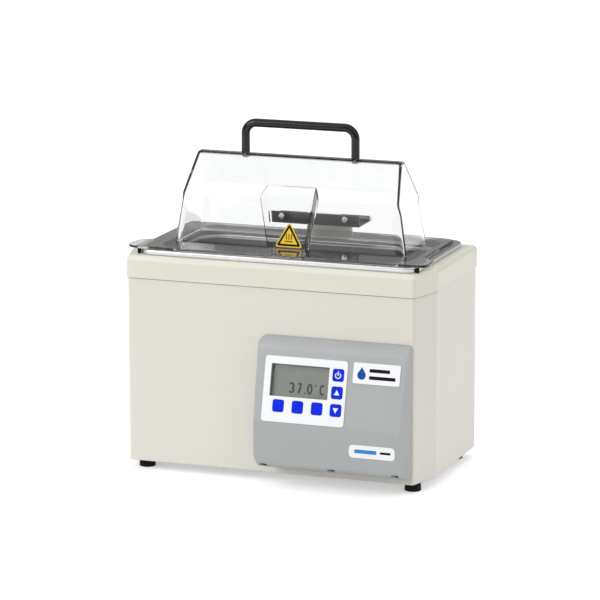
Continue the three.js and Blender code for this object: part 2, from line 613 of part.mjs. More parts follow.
// Front outline of the fascia, narrowing towards the front by the draft.
function fasciaOutline(inset) {
  const [backY, frontY] = [-CASE.halfY + 12, -CASE.halfY - FASCIA.depth - 12];
  const halfX = (FASCIA.x1 - FASCIA.x0) / 2;
  const halfZ = (FASCIA.z1 - FASCIA.z0) / 2;
  const centre = { x: (FASCIA.x0 + FASCIA.x1) / 2, y: -(FASCIA.z0 + FASCIA.z1) / 2 };
  const spread = FASCIA.draft / FASCIA.depth;
  const level = (y) => {
    const draft = spread * (-CASE.halfY - y) + inset;
    return ring({ halfX, halfY: halfZ + draft, corner: FASCIA.corner + inset, z: y }, centre, draft, 5);
  };
  return loft([level(frontY), level(backY)]).rotateX(-Math.PI / 2);
}

function fascia() {
  const shell = (inset, x0, x1) => overlap(prismAlongX(fasciaProfile(inset), x0, x1), fasciaOutline(inset));
  const outside = shell(0, FASCIA.x0 - 20, FASCIA.x1 + 20);
  const inside = shell(FASCIA.wall, FASCIA.x0 - 20, FASCIA.x1 + 20);
  const screenHole = onPanel(block(SCREEN.x - SCREEN.width / 2, SCREEN.x + SCREEN.width / 2,
    SCREEN.v - SCREEN.height / 2, SCREEN.v + SCREEN.height / 2, -8, 5));
  const keyHoles = keyPlaces().map(({ x, v }) => onPanel(slab(
    roundedRectangle(KEY.width / 2 + GAP, KEY.height / 2 + GAP, KEY.corner, x, v), -8, 5, 3)));
  const screwHoles = Object.values(FASCIA_SCREW_X).map((x) => rod(FASCIA_SCREW.hole, 0, FASCIA_SCREW.z,
    [x, FASCIA_SCREW.setback - FASCIA_FRONT, 0], 'z', 12));
  return cutAll(outside, inside, screenHole, ...keyHoles, ...screwHoles);
}

function fasciaScrew(x) {
  const top = FASCIA_SCREW.z - GAP;
  const low = top - 3.5;
  return turned([[0, low], [2.8, low], [3.4, low + 0.9], [3.4, top], [0, top]],
    [x, FASCIA_SCREW.setback - FASCIA_FRONT, 0], 'z', 12);
}

function keyPlaces() {
  const column = ['down', 'up', 'power'].map((name, row) => ({
    name: `key_${name}`, x: KEY.columnX, v: KEY.rowV + row * KEY_PITCH_V,
  }));
  const row = ['left', 'middle', 'right'].map((name, place) => ({
    name: `key_soft_${name}`, x: SOFT_KEY_X + place * KEY_PITCH_X, v: KEY.rowV,
  }));
  return [...column, ...row];
}

function keyCap({ x, v }) {
  const top = GAP + OVERLAY.thickness + KEY.proud;
  const level = (z, inset) => ring({ halfX: KEY.width / 2, halfY: KEY.height / 2, corner: KEY.corner, z },
    { x, y: v }, inset, 3);
  return loft([level(-KEY.stem, 0), level(top - 0.4, 0), level(top, 0.4)]);
}

function keypadOverlay() {
  const shape = roundedRectangle(OVERLAY.width / 2, OVERLAY.height / 2, OVERLAY.corner, OVERLAY.x, OVERLAY.v);
  shape.holes.push(roundedRectangle(SCREEN.width / 2, SCREEN.height / 2, 0.6, SCREEN.x, SCREEN.v));
  for (const { x, v } of keyPlaces()) {
    shape.holes.push(roundedRectangle(KEY.width / 2 + GAP, KEY.height / 2 + GAP, KEY.corner, x, v));
  }
  return slab(shape, GAP, GAP + OVERLAY.thickness, 3);
}

function controlBoard() {
  const { halfX, halfV, low, high } = CONTROL_BOARD;
  return block(OVERLAY.x - halfX, OVERLAY.x + halfX, OVERLAY.v - halfV, OVERLAY.v + halfV, low, high);
}

function plate({ x, v, width, height, corner }) {
  const shape = roundedRectangle(width / 2, height / 2, corner, x, v);
  return slab(shape, GAP, GAP + OVERLAY.thickness, 3);
}

// A plate a little larger than the screen opening, with its front face at the height `top`.
function behindScreen(top, thickness) {
  const margin = 1;
  return block(SCREEN.x - SCREEN.width / 2 - margin, SCREEN.x + SCREEN.width / 2 + margin,
    SCREEN.v - SCREEN.height / 2 - margin, SCREEN.v + SCREEN.height / 2 + margin, top - thickness, top);
}

// ---------------------------------------------------------------- lid
function domeSkin(inset) {
  const slide = inset ? -6 : 0;
  return loft([
    ring({ ...DOME_BASE, z: DOME_BASE.z + slide }, LID_CENTRE, inset, 3),
    ring({ ...DOME_KINK, z: DOME_KINK.z - inset * 0.3 }, LID_CENTRE, inset, 3),
    ring({ ...DOME_RIDGE, halfY: DOME_RIDGE.halfY + inset * 0.8, z: DOME_RIDGE.z - inset },
      LID_CENTRE, inset, 3),
  ]);
}

// Wedge that is cut out of the front of the dome; `wall` moves its faces into the dome.
function recessCutter(wall) {
  const rise = RECESS.topZ - DOME_BASE.z;
  const level = (z) => {
    const t = (z - DOME_BASE.z) / rise;
    const y = THREE.MathUtils.lerp(RECESS.bottomY, RECESS.topY, t) + wall;
    const half = THREE.MathUtils.lerp(RECESS.bottomHalf, RECESS.topHalf, t) + wall * 0.4;
    const outer = half + RECESS.flare + wall;
    const frontY = y - RECESS.flare - wall;
    return [[-half, y], [-outer, frontY], [outer, frontY], [half, y]]
      .map(([x, yy]) => new THREE.Vector3(LID_CENTRE.x + x, yy, z));
  };
  return loft([level(DOME_BASE.z - 2 * THROUGH), level(DOME_RIDGE.z + 2 * THROUGH)]);
}

function flangeOutline() {
  const { halfX, y0, y1, corner } = FLANGE;
  const bendY = EAR.backY - 4;
  const shape = new THREE.Shape();
  const quarter = Math.PI / 2;
  shape.moveTo(halfX, EAR.backY);
  shape.absarc(halfX - corner, y1 - corner, corner, 0, quarter);
  shape.absarc(-halfX + corner, y1 - corner, corner, quarter, 2 * quarter);
  shape.lineTo(-halfX, EAR.backY);
  shape.quadraticCurveTo(-EAR.x, bendY, -EAR.x, EAR.y);
  shape.absarc(-EAR.x + EAR.radius, y0 + EAR.radius, EAR.radius, 2 * quarter, 3 * quarter);
  shape.absarc(EAR.x - EAR.radius, y0 + EAR.radius, EAR.radius, 3 * quarter, 4 * quarter);
  shape.lineTo(EAR.x, EAR.y);
  shape.quadraticCurveTo(EAR.x, bendY, halfX, EAR.backY);
  return shape;
}

function lidShell() {
  const low = DOME_BASE.z;
  const flange = toSolid(slab(flangeOutline(), low, low + LID_WALL, 5).translate(FLANGE.centreX, 0, 0));
  const lipY = RECESS.bottomY - RECESS_LIP.setback;
  const lip = toSolid(block(LID_CENTRE.x - RECESS.bottomHalf, LID_CENTRE.x + RECESS.bottomHalf,
    lipY, lipY + LID_WALL, low - RECESS_LIP.drop, low + 1));
  const outside = toSolid(domeSkin(0)).subtract(toSolid(recessCutter(0)));
  const inside = toSolid(domeSkin(LID_WALL)).subtract(toSolid(recessCutter(LID_WALL)));
  const handleHoles = handleLegs().map((x) => rod(HANDLE.boreRadius, -THROUGH, THROUGH,
    [x, LID_CENTRE.y, DOME_RIDGE.z], 'z', 10));
  const { screwZ } = HINGE_LEAF;
  const leafHoles = leafScrewPlaces().map((x) => screwHole([x, rearOfDomeY(screwZ), screwZ]));
  const drilled = [...handleHoles, ...leafHoles].reduce((solid, hole) => solid.subtract(toSolid(hole)),
    outside.add(flange).subtract(inside));
  return toGeometry(drilled.add(lip));
}

function handleLegs() {
  return [LID_CENTRE.x - HANDLE.halfSpan, LID_CENTRE.x + HANDLE.halfSpan];
}

function lidHandle() {
  const [left, right] = handleLegs();
  const { barZ, bend } = HANDLE;
  const footZ = DOME_RIDGE.z + GAP;
  const at = (x, z) => new THREE.Vector3(x, LID_CENTRE.y, z);
  const shoulder = (x, start, end) => new THREE.EllipseCurve(x, barZ - bend, bend, bend, start, end, true)
    .getPoints(7).map((point) => at(point.x, point.y));
  return bentBar([
    at(left, footZ),
    ...shoulder(left + bend, Math.PI, Math.PI / 2),
    at((left + right) / 2, barZ),
    ...shoulder(right - bend, Math.PI / 2, 0),
    at(right, footZ),
  ]);
}

// Round bar through points that lie in the plane of the handle.
function bentBar(points) {
  const sides = 14;
  const rings = points.map((point, i) => {
    const before = points[Math.max(i - 1, 0)];
    const after = points[Math.min(i + 1, points.length - 1)];
    const along = after.clone().sub(before).normalize();
    const across = new THREE.Vector3(along.z, 0, -along.x);
    return Array.from({ length: sides }, (_, side) => {
      const angle = (side / sides) * 2 * Math.PI;
      const offset = across.clone().multiplyScalar(HANDLE.radius * Math.cos(angle));
      offset.y += HANDLE.radius * Math.sin(angle);
      return point.clone().add(offset);
    });
  });
  const bores = handleLegs().map((x) => rod(HANDLE.boreRadius, -THROUGH, HANDLE.boreDepth,
    [x, LID_CENTRE.y, DOME_RIDGE.z], 'z', 10));
  return cutAll(loft(rings), ...bores);
}

function handleScrew(x) {
  const seat = DOME_RIDGE.z - LID_WALL - GAP;
  const tip = DOME_RIDGE.z + HANDLE.boreDepth - 1;
  const washer = rod(WASHER.radius, seat - WASHER.thickness, seat, [x, LID_CENTRE.y, 0], 'z', 12);
  return join(panScrew([x, LID_CENTRE.y, 0], 'z', seat - WASHER.thickness / 2, tip), washer);
}

// A triangle with rounded corners that lies on the back wall of the recess.
function cautionSticker() {
  const { side, corner, lowV, thickness } = STICKER;
  const height = side * Math.sqrt(3) / 2;
  const centreV = lowV + height / 3;
  const reach = (height * 2) / 3 - 2 * corner;
  const shape = new THREE.Shape();
  for (let point = 0; point < 3; point += 1) {
    const heading = Math.PI / 2 + (point * 2 * Math.PI) / 3;
    const [x, y] = [reach * Math.cos(heading), centreV + reach * Math.sin(heading)];
    shape.absarc(x, y, corner, heading - Math.PI / 3, heading + Math.PI / 3);
  }
  return slab(shape, GAP, GAP + thickness, 4);
}

// ---------------------------------------------------------------- hinge
function rearOfDomeY(z) {
  const t = (z - DOME_BASE.z) / (DOME_KINK.z - DOME_BASE.z);
  return LID_CENTRE.y + THREE.MathUtils.lerp(DOME_BASE.halfY, DOME_KINK.halfY, t);
}

function leafScrewPlaces() {
  return [HINGE.x - HINGE_LEAF.screwOffset, HINGE.x + HINGE_LEAF.screwOffset];
}

function standScrewPlaces() {
  return [HINGE.x - HINGE_STAND.screwOffset, HINGE.x + HINGE_STAND.screwOffset];
}

function knuckle(halfLength) {
  return rod(HINGE.knuckle, -halfLength, halfLength, [HINGE.x, HINGE.y, HINGE.z], 'x', 16);
}

function pinBore() {
  const reach = HINGE.halfWidth + THROUGH;
  return rod(HINGE_PIN.bore, -reach, reach, [HINGE.x, HINGE.y, HINGE.z], 'x', 16);
}

function hingeLeaf() {
  const { lowZ, highZ, thickness, screwZ } = HINGE_LEAF;
  const near = (z) => rearOfDomeY(z) + GAP;
  const profile = [
    [near(lowZ), lowZ], [HINGE.y, lowZ], [HINGE.y, lowZ + thickness],
    [near(lowZ) + thickness, lowZ + thickness], [near(highZ) + thickness, highZ], [near(highZ), highZ],
  ];
  const plate = prismAlongX(profile, HINGE.x - HINGE.halfWidth, HINGE.x + HINGE.halfWidth);
  const room = HINGE.centreHalf + GAP;
  const middle = block(HINGE.x - room, HINGE.x + room, HINGE.y - HINGE.knuckle - 1, HINGE.y + THROUGH,
    lowZ - THROUGH, highZ);
  const holes = leafScrewPlaces().map((x) => screwHole([x, near(screwZ), screwZ]));
  return cutAll(join(plate, knuckle(HINGE.halfWidth)), middle, pinBore(), ...holes);
}

function hingeStand() {
  const { lowZ: leafZ, highZ, thickness } = HINGE_LEAF;
  const { y, lowZ, halfWidth, screwZ } = HINGE_STAND;
  const profile = [
    [HINGE.y, leafZ + thickness], [y + thickness, leafZ + thickness], [y + thickness, lowZ], [y, lowZ],
    [y, leafZ], [HINGE.y, leafZ],
  ];
  const plate = prismAlongX(profile, HINGE.x - halfWidth, HINGE.x + halfWidth);
  const room = HINGE.knuckle + GAP;
  const sides = [-1, 1].map((side) => {
    const middle = HINGE.x + side * (HINGE.centreHalf + THROUGH);
    return block(middle - THROUGH, middle + THROUGH, HINGE.y - THROUGH, HINGE.y + room, leafZ - THROUGH, highZ);
  });
  const holes = standScrewPlaces().map((x) => screwHole([x, y, screwZ]));
  return cutAll(join(cutAll(plate, ...sides), knuckle(HINGE.centreHalf)), pinBore(), ...holes);
}

function hingePin() {
  const { radius, head, headHeight, proud } = HINGE_PIN;
  const end = HINGE.halfWidth + proud;
  const top = end + headHeight;
  const profile = [[0, -end], [radius, -end], [radius, end], [head, end], [head, top], [0, top]];
  return turned(profile, [HINGE.x, HINGE.y, HINGE.z], 'x');
}

// Screw through the dome and the leaf, with its head inside the lid and a nut outside.
function leafScrew(x) {
  const wallY = rearOfDomeY(HINGE_LEAF.screwZ);
  const seat = wallY - LID_WALL - 4 * GAP;
  const nutSeat = wallY + HINGE_LEAF.thickness + 3 * GAP;
  const nut = rod(3.4, nutSeat, nutSeat + 2.6, [x, 0, HINGE_LEAF.screwZ], 'y', 6);
  return join(panScrew([x, 0, HINGE_LEAF.screwZ], 'y', seat, nutSeat + 4), nut);
}

// Screw whose head stands on a face that looks to the rear.
function rearwardScrew(x, z, faceY, length) {
  return panScrew([x, 0, z], 'y', faceY + GAP, faceY + GAP - length);
}

// ---------------------------------------------------------------- rear panel and fittings
function rearScrewPlaces() {
  const { x, lowZ, highZ } = REAR_SCREW;
  return [[-x, lowZ], [x, lowZ], [-x, highZ], [x, highZ]];
}

function rearPanel() {
  const { halfX, z0, z1, corner } = REAR_PANEL;
  const centreZ = (z0 + z1) / 2;
  const plate = slab(roundedRectangle(halfX, (z1 - z0) / 2, corner), 0, SHEET, 3)
    .rotateX(Math.PI / 2).translate(0, REAR_FACE, centreZ);
  const [near, far] = [CASE.halfY - THROUGH, CASE.halfY + THROUGH];
  const tools = rearScrewPlaces().map(([x, z]) => screwHole([x, CASE.halfY, z], 8));
  for (const x of LOUVRE.columns) {
    for (let row = 0; row < LOUVRE.rows; row += 1) {
      const z = LOUVRE.lowZ + row * LOUVRE.pitch;
      tools.push(block(x - LOUVRE.width / 2, x + LOUVRE.width / 2, near, far, z, z + LOUVRE.height));
    }
  }
  for (const { x, z, width, height } of [INLET, SWITCH]) {
    tools.push(block(x - width / 2 + BEZEL_EDGE, x + width / 2 - BEZEL_EDGE, near, far,
      z - height / 2 + BEZEL_EDGE, z + height / 2 - BEZEL_EDGE));
  }
  return cutAll(plate, ...tools);
}

// A fitting pushed through the rear panel: a bezel outside and a smaller body behind it.
function throughFitting({ x, z, width, height, depth }) {
  const edge = BEZEL_EDGE + GAP;
  const seat = REAR_FACE + GAP;
  const bezel = block(x - width / 2, x + width / 2, seat, BEZEL_FACE, z - height / 2, z + height / 2);
  const body = block(x - width / 2 + edge, x + width / 2 - edge, seat - depth, seat + 1,
    z - height / 2 + edge, z + height / 2 - edge);
  return join(bezel, body);
}

function inletSocket() {
  const { x, z } = INLET;
  const { offsetX, width, height, depth } = INLET_SOCKET;
  const face = BEZEL_FACE;
  const centre = x + offsetX;
  const recess = slab(roundedRectangle(width / 2, height / 2, 3, centre, -z), 0, depth, 3)
    .rotateX(-Math.PI / 2).translate(0, face - depth, 0);
  const drawer = block(x + FUSE.offsetX - FUSE.width / 2 - GAP, x + FUSE.offsetX + FUSE.width / 2 + GAP,
    face - FUSE.depth - GAP, face + THROUGH, z - FUSE.height / 2 - GAP, z + FUSE.height / 2 + GAP);
  const { pitch, offset, halfWidth, halfHeight, setback } = INLET_PIN;
  const pins = [-1, 0, 1].map((place) => {
    const [pinX, pinZ] = [centre + place * pitch, z + (place ? -offset : offset)];
    return block(pinX - halfWidth, pinX + halfWidth, face - depth - 1, face - setback,
      pinZ - halfHeight, pinZ + halfHeight);
  });
  return join(cutAll(throughFitting(INLET), recess, drawer), ...pins);
}

// The drawer has a finger lip at the top and a cradle open upwards that takes one fuse.
function fuseDrawer() {
  const { offsetX, width, height, depth } = FUSE;
  const face = BEZEL_FACE;
  const [x, z] = [INLET.x + offsetX, INLET.z];
  const body = block(x - width / 2, x + width / 2, face - depth, face + 0.6, z - height / 2, z + height / 2);
  const lip = block(x - 3.5, x + 3.5, face - 2, face + THROUGH, z + height / 2 - 4.5, z + height / 2 - 1.5);
  const [radius, from, to, fuseZ] = [2.8, -11, -3, z - 2];
  const cradle = rod(radius, from, to, [x, face, fuseZ], 'y', 10);
  return cutAll(body, lip, cradle, block(x - radius, x + radius, face + from, face + to, fuseZ, z + height));
}

function switchFrame() {
  const { x, z, rockerWidth, rockerHeight } = SWITCH;
  const room = block(x - rockerWidth / 2 - GAP, x + rockerWidth / 2 + GAP, BEZEL_FACE - ROCKER_DEPTH - 3,
    BEZEL_FACE + THROUGH, z - rockerHeight / 2 - 1, z + rockerHeight / 2 + 1);
  return cutAll(throughFitting(SWITCH), room);
}

// The rocker turns about X through its middle; its two faces meet in a shallow V.
function powerRocker() {
  const { x, z, rockerWidth, rockerHeight } = SWITCH;
  const half = rockerHeight / 2 - ROCKER_RISE;
  const taper = ROCKER_DEPTH / 2;
  const profile = [
    [BEZEL_FACE - ROCKER_DEPTH, z - half + taper], [BEZEL_FACE - 1.4, z - half], [BEZEL_FACE - 1.2, z],
    [BEZEL_FACE + ROCKER_RISE, z + half], [BEZEL_FACE - ROCKER_DEPTH, z + half - taper],
  ];
  return prismAlongX(profile, x - rockerWidth / 2, x + rockerWidth / 2);
}

// ---------------------------------------------------------------- assembly
addPart('outer_case', 'cream_paint', outerCase());
addPart('top_cover', 'cream_paint', topCover());
addPart('base_pan', 'stainless', basePan());
addPart('rear_panel', 'cream_paint', rearPanel());
addPart('tank', 'stainless', tank());
addPart('tank_insulation', 'foam_wool', tankInsulation());
addPart('diffuser_tray', 'stainless', diffuserTray());
addPart('heater_pad', 'heater_silicone', heaterPad());
addPart('tank_probe', 'stainless', tankProbe());
addPart('overtemp_cutout', 'black_plastic', overtempCutout());
addPart('power_board', 'circuit_green', powerBoard());
addPart('transformer_core', 'dark_steel', transformerCore());
addPart('transformer_coil', 'copper_coil', transformerCoil());
addPart('heater_lead', 'red_lead', heaterLead());
addPart('probe_lead', 'black_plastic', probeLead());
addPart('mains_lead', 'black_plastic', mainsLead());

for (const place of footPlaces()) {
  addPart(`foot_${place.name}`, 'black_rubber', foot(place));
  addPart(`foot_screw_${place.name}`, 'zinc_screw', footScrew(place));
}

addPart('fascia', 'grey_plastic', fascia());
addPart('keypad_overlay', 'white_film', keypadOverlay(), panel);
for (const place of keyPlaces()) addPart(place.name, 'blue_key', keyCap(place), panel);
addPart('display_window', 'clear_sheet', behindScreen(-FASCIA.wall - GAP, WINDOW_THICKNESS), panel);
addPart('display_module', 'screen_green', behindScreen(-FASCIA.wall - 2 * GAP - WINDOW_THICKNESS, 5), panel);
addPart('control_board', 'circuit_green', controlBoard(), panel);
addPart('badge_plate', 'white_film', plate(BADGE), panel);
addPart('label_plate', 'white_film', plate(LABEL), lowerFace);
for (const [name, x] of Object.entries(FASCIA_SCREW_X)) {
  addPart(`fascia_screw_${name}`, 'black_plastic', fasciaScrew(x));
}

addPart('lid_shell', 'clear_sheet', lidShell());
addPart('lid_handle', 'black_gloss', lidHandle());
addPart('caution_sticker', 'yellow_film', cautionSticker(), recessWall);
addPart('hinge_leaf', 'dark_steel', hingeLeaf());
addPart('hinge_stand', 'cream_paint', hingeStand());
addPart('hinge_pin', 'stainless', hingePin());
for (const [index, side] of ['left', 'right'].entries()) {
  const standX = standScrewPlaces()[index];
  const standFace = HINGE_STAND.y + HINGE_LEAF.thickness;
  addPart(`handle_screw_${side}`, 'zinc_screw', handleScrew(handleLegs()[index]));
  addPart(`hinge_leaf_screw_${side}`, 'zinc_screw', leafScrew(leafScrewPlaces()[index]));
  addPart(`hinge_stand_screw_${side}`, 'zinc_screw', rearwardScrew(standX, HINGE_STAND.screwZ, standFace, 8));
}

addPart('inlet_socket', 'black_plastic', inletSocket());
addPart('fuse_drawer', 'black_plastic', fuseDrawer());
addPart('switch_frame', 'black_plastic', switchFrame());
addPart('power_rocker', 'black_gloss', powerRocker());
for (const [index, name] of ['low_left', 'low_right', 'high_left', 'high_right'].entries()) {
  const [x, z] = rearScrewPlaces()[index];
  addPart(`rear_screw_${name}`, 'zinc_screw', rearwardScrew(x, z, REAR_FACE, 7));
}

export default bath;
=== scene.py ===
"""Bench water bath with a clear hinged lid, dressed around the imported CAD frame.

Lengths in the tables are millimetres in the bath's own frame: X across the front, Y to the rear, Z up,
with X = 0 and Y = 0 at the middle of the tank. `at` turns them into metres in the row frame.
"""

from math import atan2, cos, degrees, dist, hypot, pi, radians, sin, sqrt, tan

import bmesh
import bpy
from mathutils import Matrix, Vector


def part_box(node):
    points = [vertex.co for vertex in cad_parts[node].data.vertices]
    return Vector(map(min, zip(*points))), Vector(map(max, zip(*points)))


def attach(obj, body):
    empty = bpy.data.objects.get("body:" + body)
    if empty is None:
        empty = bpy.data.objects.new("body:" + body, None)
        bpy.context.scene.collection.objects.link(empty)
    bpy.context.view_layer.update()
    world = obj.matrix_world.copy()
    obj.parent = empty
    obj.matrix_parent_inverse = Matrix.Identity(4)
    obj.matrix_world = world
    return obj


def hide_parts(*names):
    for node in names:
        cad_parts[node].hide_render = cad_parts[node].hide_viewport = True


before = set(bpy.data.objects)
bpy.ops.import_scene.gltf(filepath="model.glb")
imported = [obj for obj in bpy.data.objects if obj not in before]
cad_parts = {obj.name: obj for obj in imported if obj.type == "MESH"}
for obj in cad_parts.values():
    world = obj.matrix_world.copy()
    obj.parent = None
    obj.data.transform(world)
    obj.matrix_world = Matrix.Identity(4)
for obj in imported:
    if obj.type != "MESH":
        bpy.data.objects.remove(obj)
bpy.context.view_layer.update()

MM = 0.001
GAP = 0.3
SHEET = 1.5

case_low, case_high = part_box("outer_case")
CASE_CENTRE_X = -4
ORIGIN = Vector((
    (case_low.x + case_high.x) / 2 - CASE_CENTRE_X * MM,
    (case_low.y + case_high.y) / 2,
    0,
))


def at(x, y, z):
    """Millimetres in the bath frame to metres in the row frame."""
    return ORIGIN + Vector((x, y, z)) * MM


# ---- dimensions, as in the CAD part
CASE = {"half_x": 184, "half_y": 96, "bottom": 10.5, "seam": 224.5, "top": 250.5}
CASE_PLAN = {"front_half_x": 171.9, "flare_y": -52, "radii": (3.5, 14, 5)}
CAP = {"overhang": 1.5, "edge": 6, "wall": 2, "mouth": 6}
FOOT = {"left": -162.3, "right": 160.7, "y": 76, "height": 10.2}
# Openings in the case's walls and the cutters that make them: x0, x1, y0, y1, z0, z1.
OPENINGS = ((8, 146, -110, -80, 45, 148), (-116, 116, 80, 110, 34, 196))
TANK = {"half_x": 150, "half_y": 75.5, "corner": 30, "floor": 106, "floor_radius": 14, "wall": 1.2,
        "draft": 1.5, "step_z": 243, "step": 3.5}
RIM = {"half_x": 168, "half_y": 87.5, "corner": 17, "top": 256.5, "hem": 1.2}
TRAY = {"half_x": 130, "half_y": 55.5, "corner": 14, "top": 120, "foot": 8, "hole": 4.5}
TRAY_HOLES = {"columns": 8, "rows": 3, "pitch_x": 30, "pitch_y": 32}
FASCIA = {"x0": -13.1, "x1": 166.2, "z0": 17, "z1": 171.5, "depth": 35.5, "draft": 3, "wall": 2.5,
          "corners": (4, 8, 26, 2.5)}
SHOULDER = {"depth": 15.5, "z": 157}
CHIN = {"z": 77, "lower_z": 34, "lip": 10, "bend": 10, "ease": 3}
PANEL_TILT = atan2(FASCIA["depth"] - SHOULDER["depth"], SHOULDER["z"] - CHIN["z"])
FRONT_FACE = -CASE["half_y"] - FASCIA["depth"]
PANEL_Y = -CASE["half_y"] - (SHOULDER["depth"] + FASCIA["depth"]) / 2
PANEL_Z = (SHOULDER["z"] + CHIN["z"]) / 2
SCREEN = {"x": 41.2, "v": 8.8, "width": 69, "height": 36.4, "corner": 0.8}
# Depth, in and out of the sloping face, of the cutters for the window and the keys.
PANEL_CUT = (-9, 6)
KEY = {"width": 13, "height": 13.6, "corner": 2.6, "proud": 0.7, "stem": 4.5}
READING = {"v": 1.2, "digits": (30.8, 40.6, 52.6, 67.4), "point": 47.0, "degree": 59.2,
           "half_width": 2.3, "half_height": 5.05, "stroke": 2.2}
KEYS = {
    "down": (86.5, -20.1), "up": (86.5, -0.4), "power": (86.5, 19.3),
    "soft_left": (18.2, -20.1), "soft_middle": (41.2, -20.1), "soft_right": (64.2, -20.1),
}
FILM = 0.5
BADGE = {"x": 131.2, "v": 23.7, "width": 55.2, "height": 23.5, "corner": 1.6}
LABEL = {"x": 131.1, "v": 54.2, "width": 54.2, "height": 14.8, "corner": 4.5}
FASCIA_SCREW = {"z": 30.2, "notch": 5.2, "setback": 4.0}
FASCIA_SCREW_X = (1.5, 82.5, 157.5)
LID_CENTRE = (-0.7, -2)
LID_WALL = 3
# Faces of the lid with painted shade of their own, a darker tint where they are seen edge-on: the ridge's
# depth, and the recess's side walls.
EDGE_SHADED = {"ridge": 4.5, "half_width": 40, "turn": 0.4}
FLANGE = {"centre_x": -2.8, "half_x": 164, "y0": -84.5, "y1": 75, "corner": 14}
EAR = {"x": 180, "y": -63, "back_y": -40, "radius": 12}
# Levels of the dome: half width, half depth, corner radius, height.
DOME_BASE = (140.3, 44, 10, 256.8)
DOME_KINK = (130.3, 38.5, 5, 317)
DOME_RIDGE = (123.5, 6, 3, 360)
RECESS = {"bottom_y": -41.5, "bottom_half": 19, "top_y": -31, "top_half": 29, "top_z": 331, "flare": 24}
RECESS_LIP = {"drop": 5.5, "setback": 0.8}
RECESS_TILT = atan2(RECESS["top_y"] - RECESS["bottom_y"], RECESS["top_z"] - DOME_BASE[3])
HANDLE = {"half_span": 66.5, "radius": 4.9, "bar_z": 395, "bend": 13}
BUMPER = (166.9, -81.8)
STICKER = {"side": 34, "corner": 2, "low_v": 4, "thickness": 0.4}
REAR_PANEL = {"half_x": 130, "z0": 22, "z1": 208, "corner": 6}
REAR_FACE = CASE["half_y"] + GAP + SHEET
LOUVRE = {"rows": 8, "pitch": 11, "width": 62, "height": 3.6, "low_z": 92, "columns": (-72, 0, 72)}
# Mains inlet and switch in the rear panel: x, z, width, height, and how far their bezels lap over it.
FITTINGS = ((84, 54, 56, 28), (36, 54, 21, 28))
BEZEL_EDGE = 2
# Radii of the head and shank, the head's height, and half the width of its slots.
SCREW = {"head": 3.8, "rise": 2.5, "shank": 1.8, "slot": 0.42}


# ---- node materials
def node(tree, kind, inputs=None, **settings):
    """A shader node of this kind, with its inputs linked or set."""
    made = tree.nodes.new("ShaderNode" + kind)
    for key, value in settings.items():
        setattr(made, key, value)
    for key, value in (inputs or {}).items():
        if isinstance(value, bpy.types.NodeSocket):
            tree.links.new(value, made.inputs[key])
        else:
            made.inputs[key].default_value = value
    return made


def grey(value):
    return (value, value, value, 1)


def shaded(colour, factor):
    return tuple(min(channel * factor, 1) for channel in colour[:3]) + (1,)


class Surface:
    """A Principled material with helpers for layered procedural detail."""

    def __init__(self, name, **inputs):
        self.material = bpy.data.materials.new(name)
        self.material.use_nodes = True
        self.tree = self.material.node_tree
        self.bsdf = self.tree.nodes["Principled BSDF"]
        self.coords = node(self.tree, "TexCoord").outputs["Object"]
        self.normal = None
        for key, value in inputs.items():
            self.bsdf.inputs[key.replace("_", " ").title().replace("Ior", "IOR")].default_value = value

    def stretched(self, scale):
        return node(self.tree, "Mapping", {"Vector": self.coords, "Scale": scale}).outputs["Vector"]

    def noise(self, scale, detail=2.0, rough=0.5, stretch=None):
        vector = self.stretched(stretch) if stretch else self.coords
        made = node(self.tree, "TexNoise",
                    {"Vector": vector, "Scale": scale, "Detail": detail, "Roughness": rough})
        return made.outputs["Fac"]

    def cells(self, scale):
        return node(self.tree, "TexVoronoi", {"Vector": self.coords, "Scale": scale}).outputs["Distance"]

    def height(self):
        """Height above the floor, in metres."""
        return node(self.tree, "SeparateXYZ", {"Vector": self.coords}).outputs["Z"]

    def between(self, fac, low, high, start=0.3, end=0.7):
        made = node(self.tree, "MapRange",
                    {"Value": fac, "From Min": start, "From Max": end, "To Min": low, "To Max": high})
        return made.outputs["Result"]

    def blend(self, fac, first, second):
        return node(self.tree, "Mix", {0: fac, 6: first, 7: second}, data_type="RGBA").outputs[2]

    def set(self, name, socket):
        self.tree.links.new(socket, self.bsdf.inputs[name])

    def colour(self, socket):
        self.set("Base Color", socket)

    def tones(self, fac, colour, low, high):
        """The colour, varied between two shades of itself."""
        return self.blend(fac, shaded(colour, low), shaded(colour, high))

    def relief(self, height, strength, distance):
        inputs = {"Height": height, "Strength": strength, "Distance": distance * MM}
        if self.normal:
            inputs["Normal"] = self.normal
        self.normal = node(self.tree, "Bump", inputs).outputs["Normal"]
        self.set("Normal", self.normal)


def powder_coat(name, colour, rough=0.42, painted_top_shade=1.0):
    """Fine orange-peel paint; the last argument is painted shade: how much of its lightness is left at the
    top of the case.
    """
    s = Surface(name, roughness=rough, coat_weight=0.12, coat_roughness=0.25)
    tone = s.between(s.noise(9, 3), 0.0, 1.0)
    # Painted shade: the colour darkens from the foot of the case up to the seam, for light that falls off
    # towards the top.
    low, high = (s.tones(tone, colour, level * 0.985, level * 1.01) for level in (1, painted_top_shade))
    s.colour(s.blend(s.between(s.height(), 0, 1, CASE["bottom"] * MM, CASE["seam"] * MM), low, high))
    s.set("Roughness", s.between(s.noise(420, 2), rough - 0.05, rough + 0.06))
    s.relief(s.noise(620, 3, 0.55), 0.16, 0.12)
    s.relief(s.noise(2600, 2, 0.6), 0.08, 0.05)
    return s.material


def brushed_steel(name, colour, rough, stretch, depth):
    s = Surface(name, metallic=1.0, roughness=rough)
    streaks = s.noise(1.0, 4, 0.62, stretch)
    clouds = s.noise(14, 3, 0.5)
    toned = s.tones(s.between(streaks, 0, 1), colour, 0.9, 1.08)
    s.colour(s.blend(s.between(clouds, 0.0, 0.35), toned, shaded(colour, 0.88)))
    s.set("Roughness", s.between(streaks, rough - 0.07, rough + 0.09))
    s.relief(streaks, depth, 0.04)
    return s.material


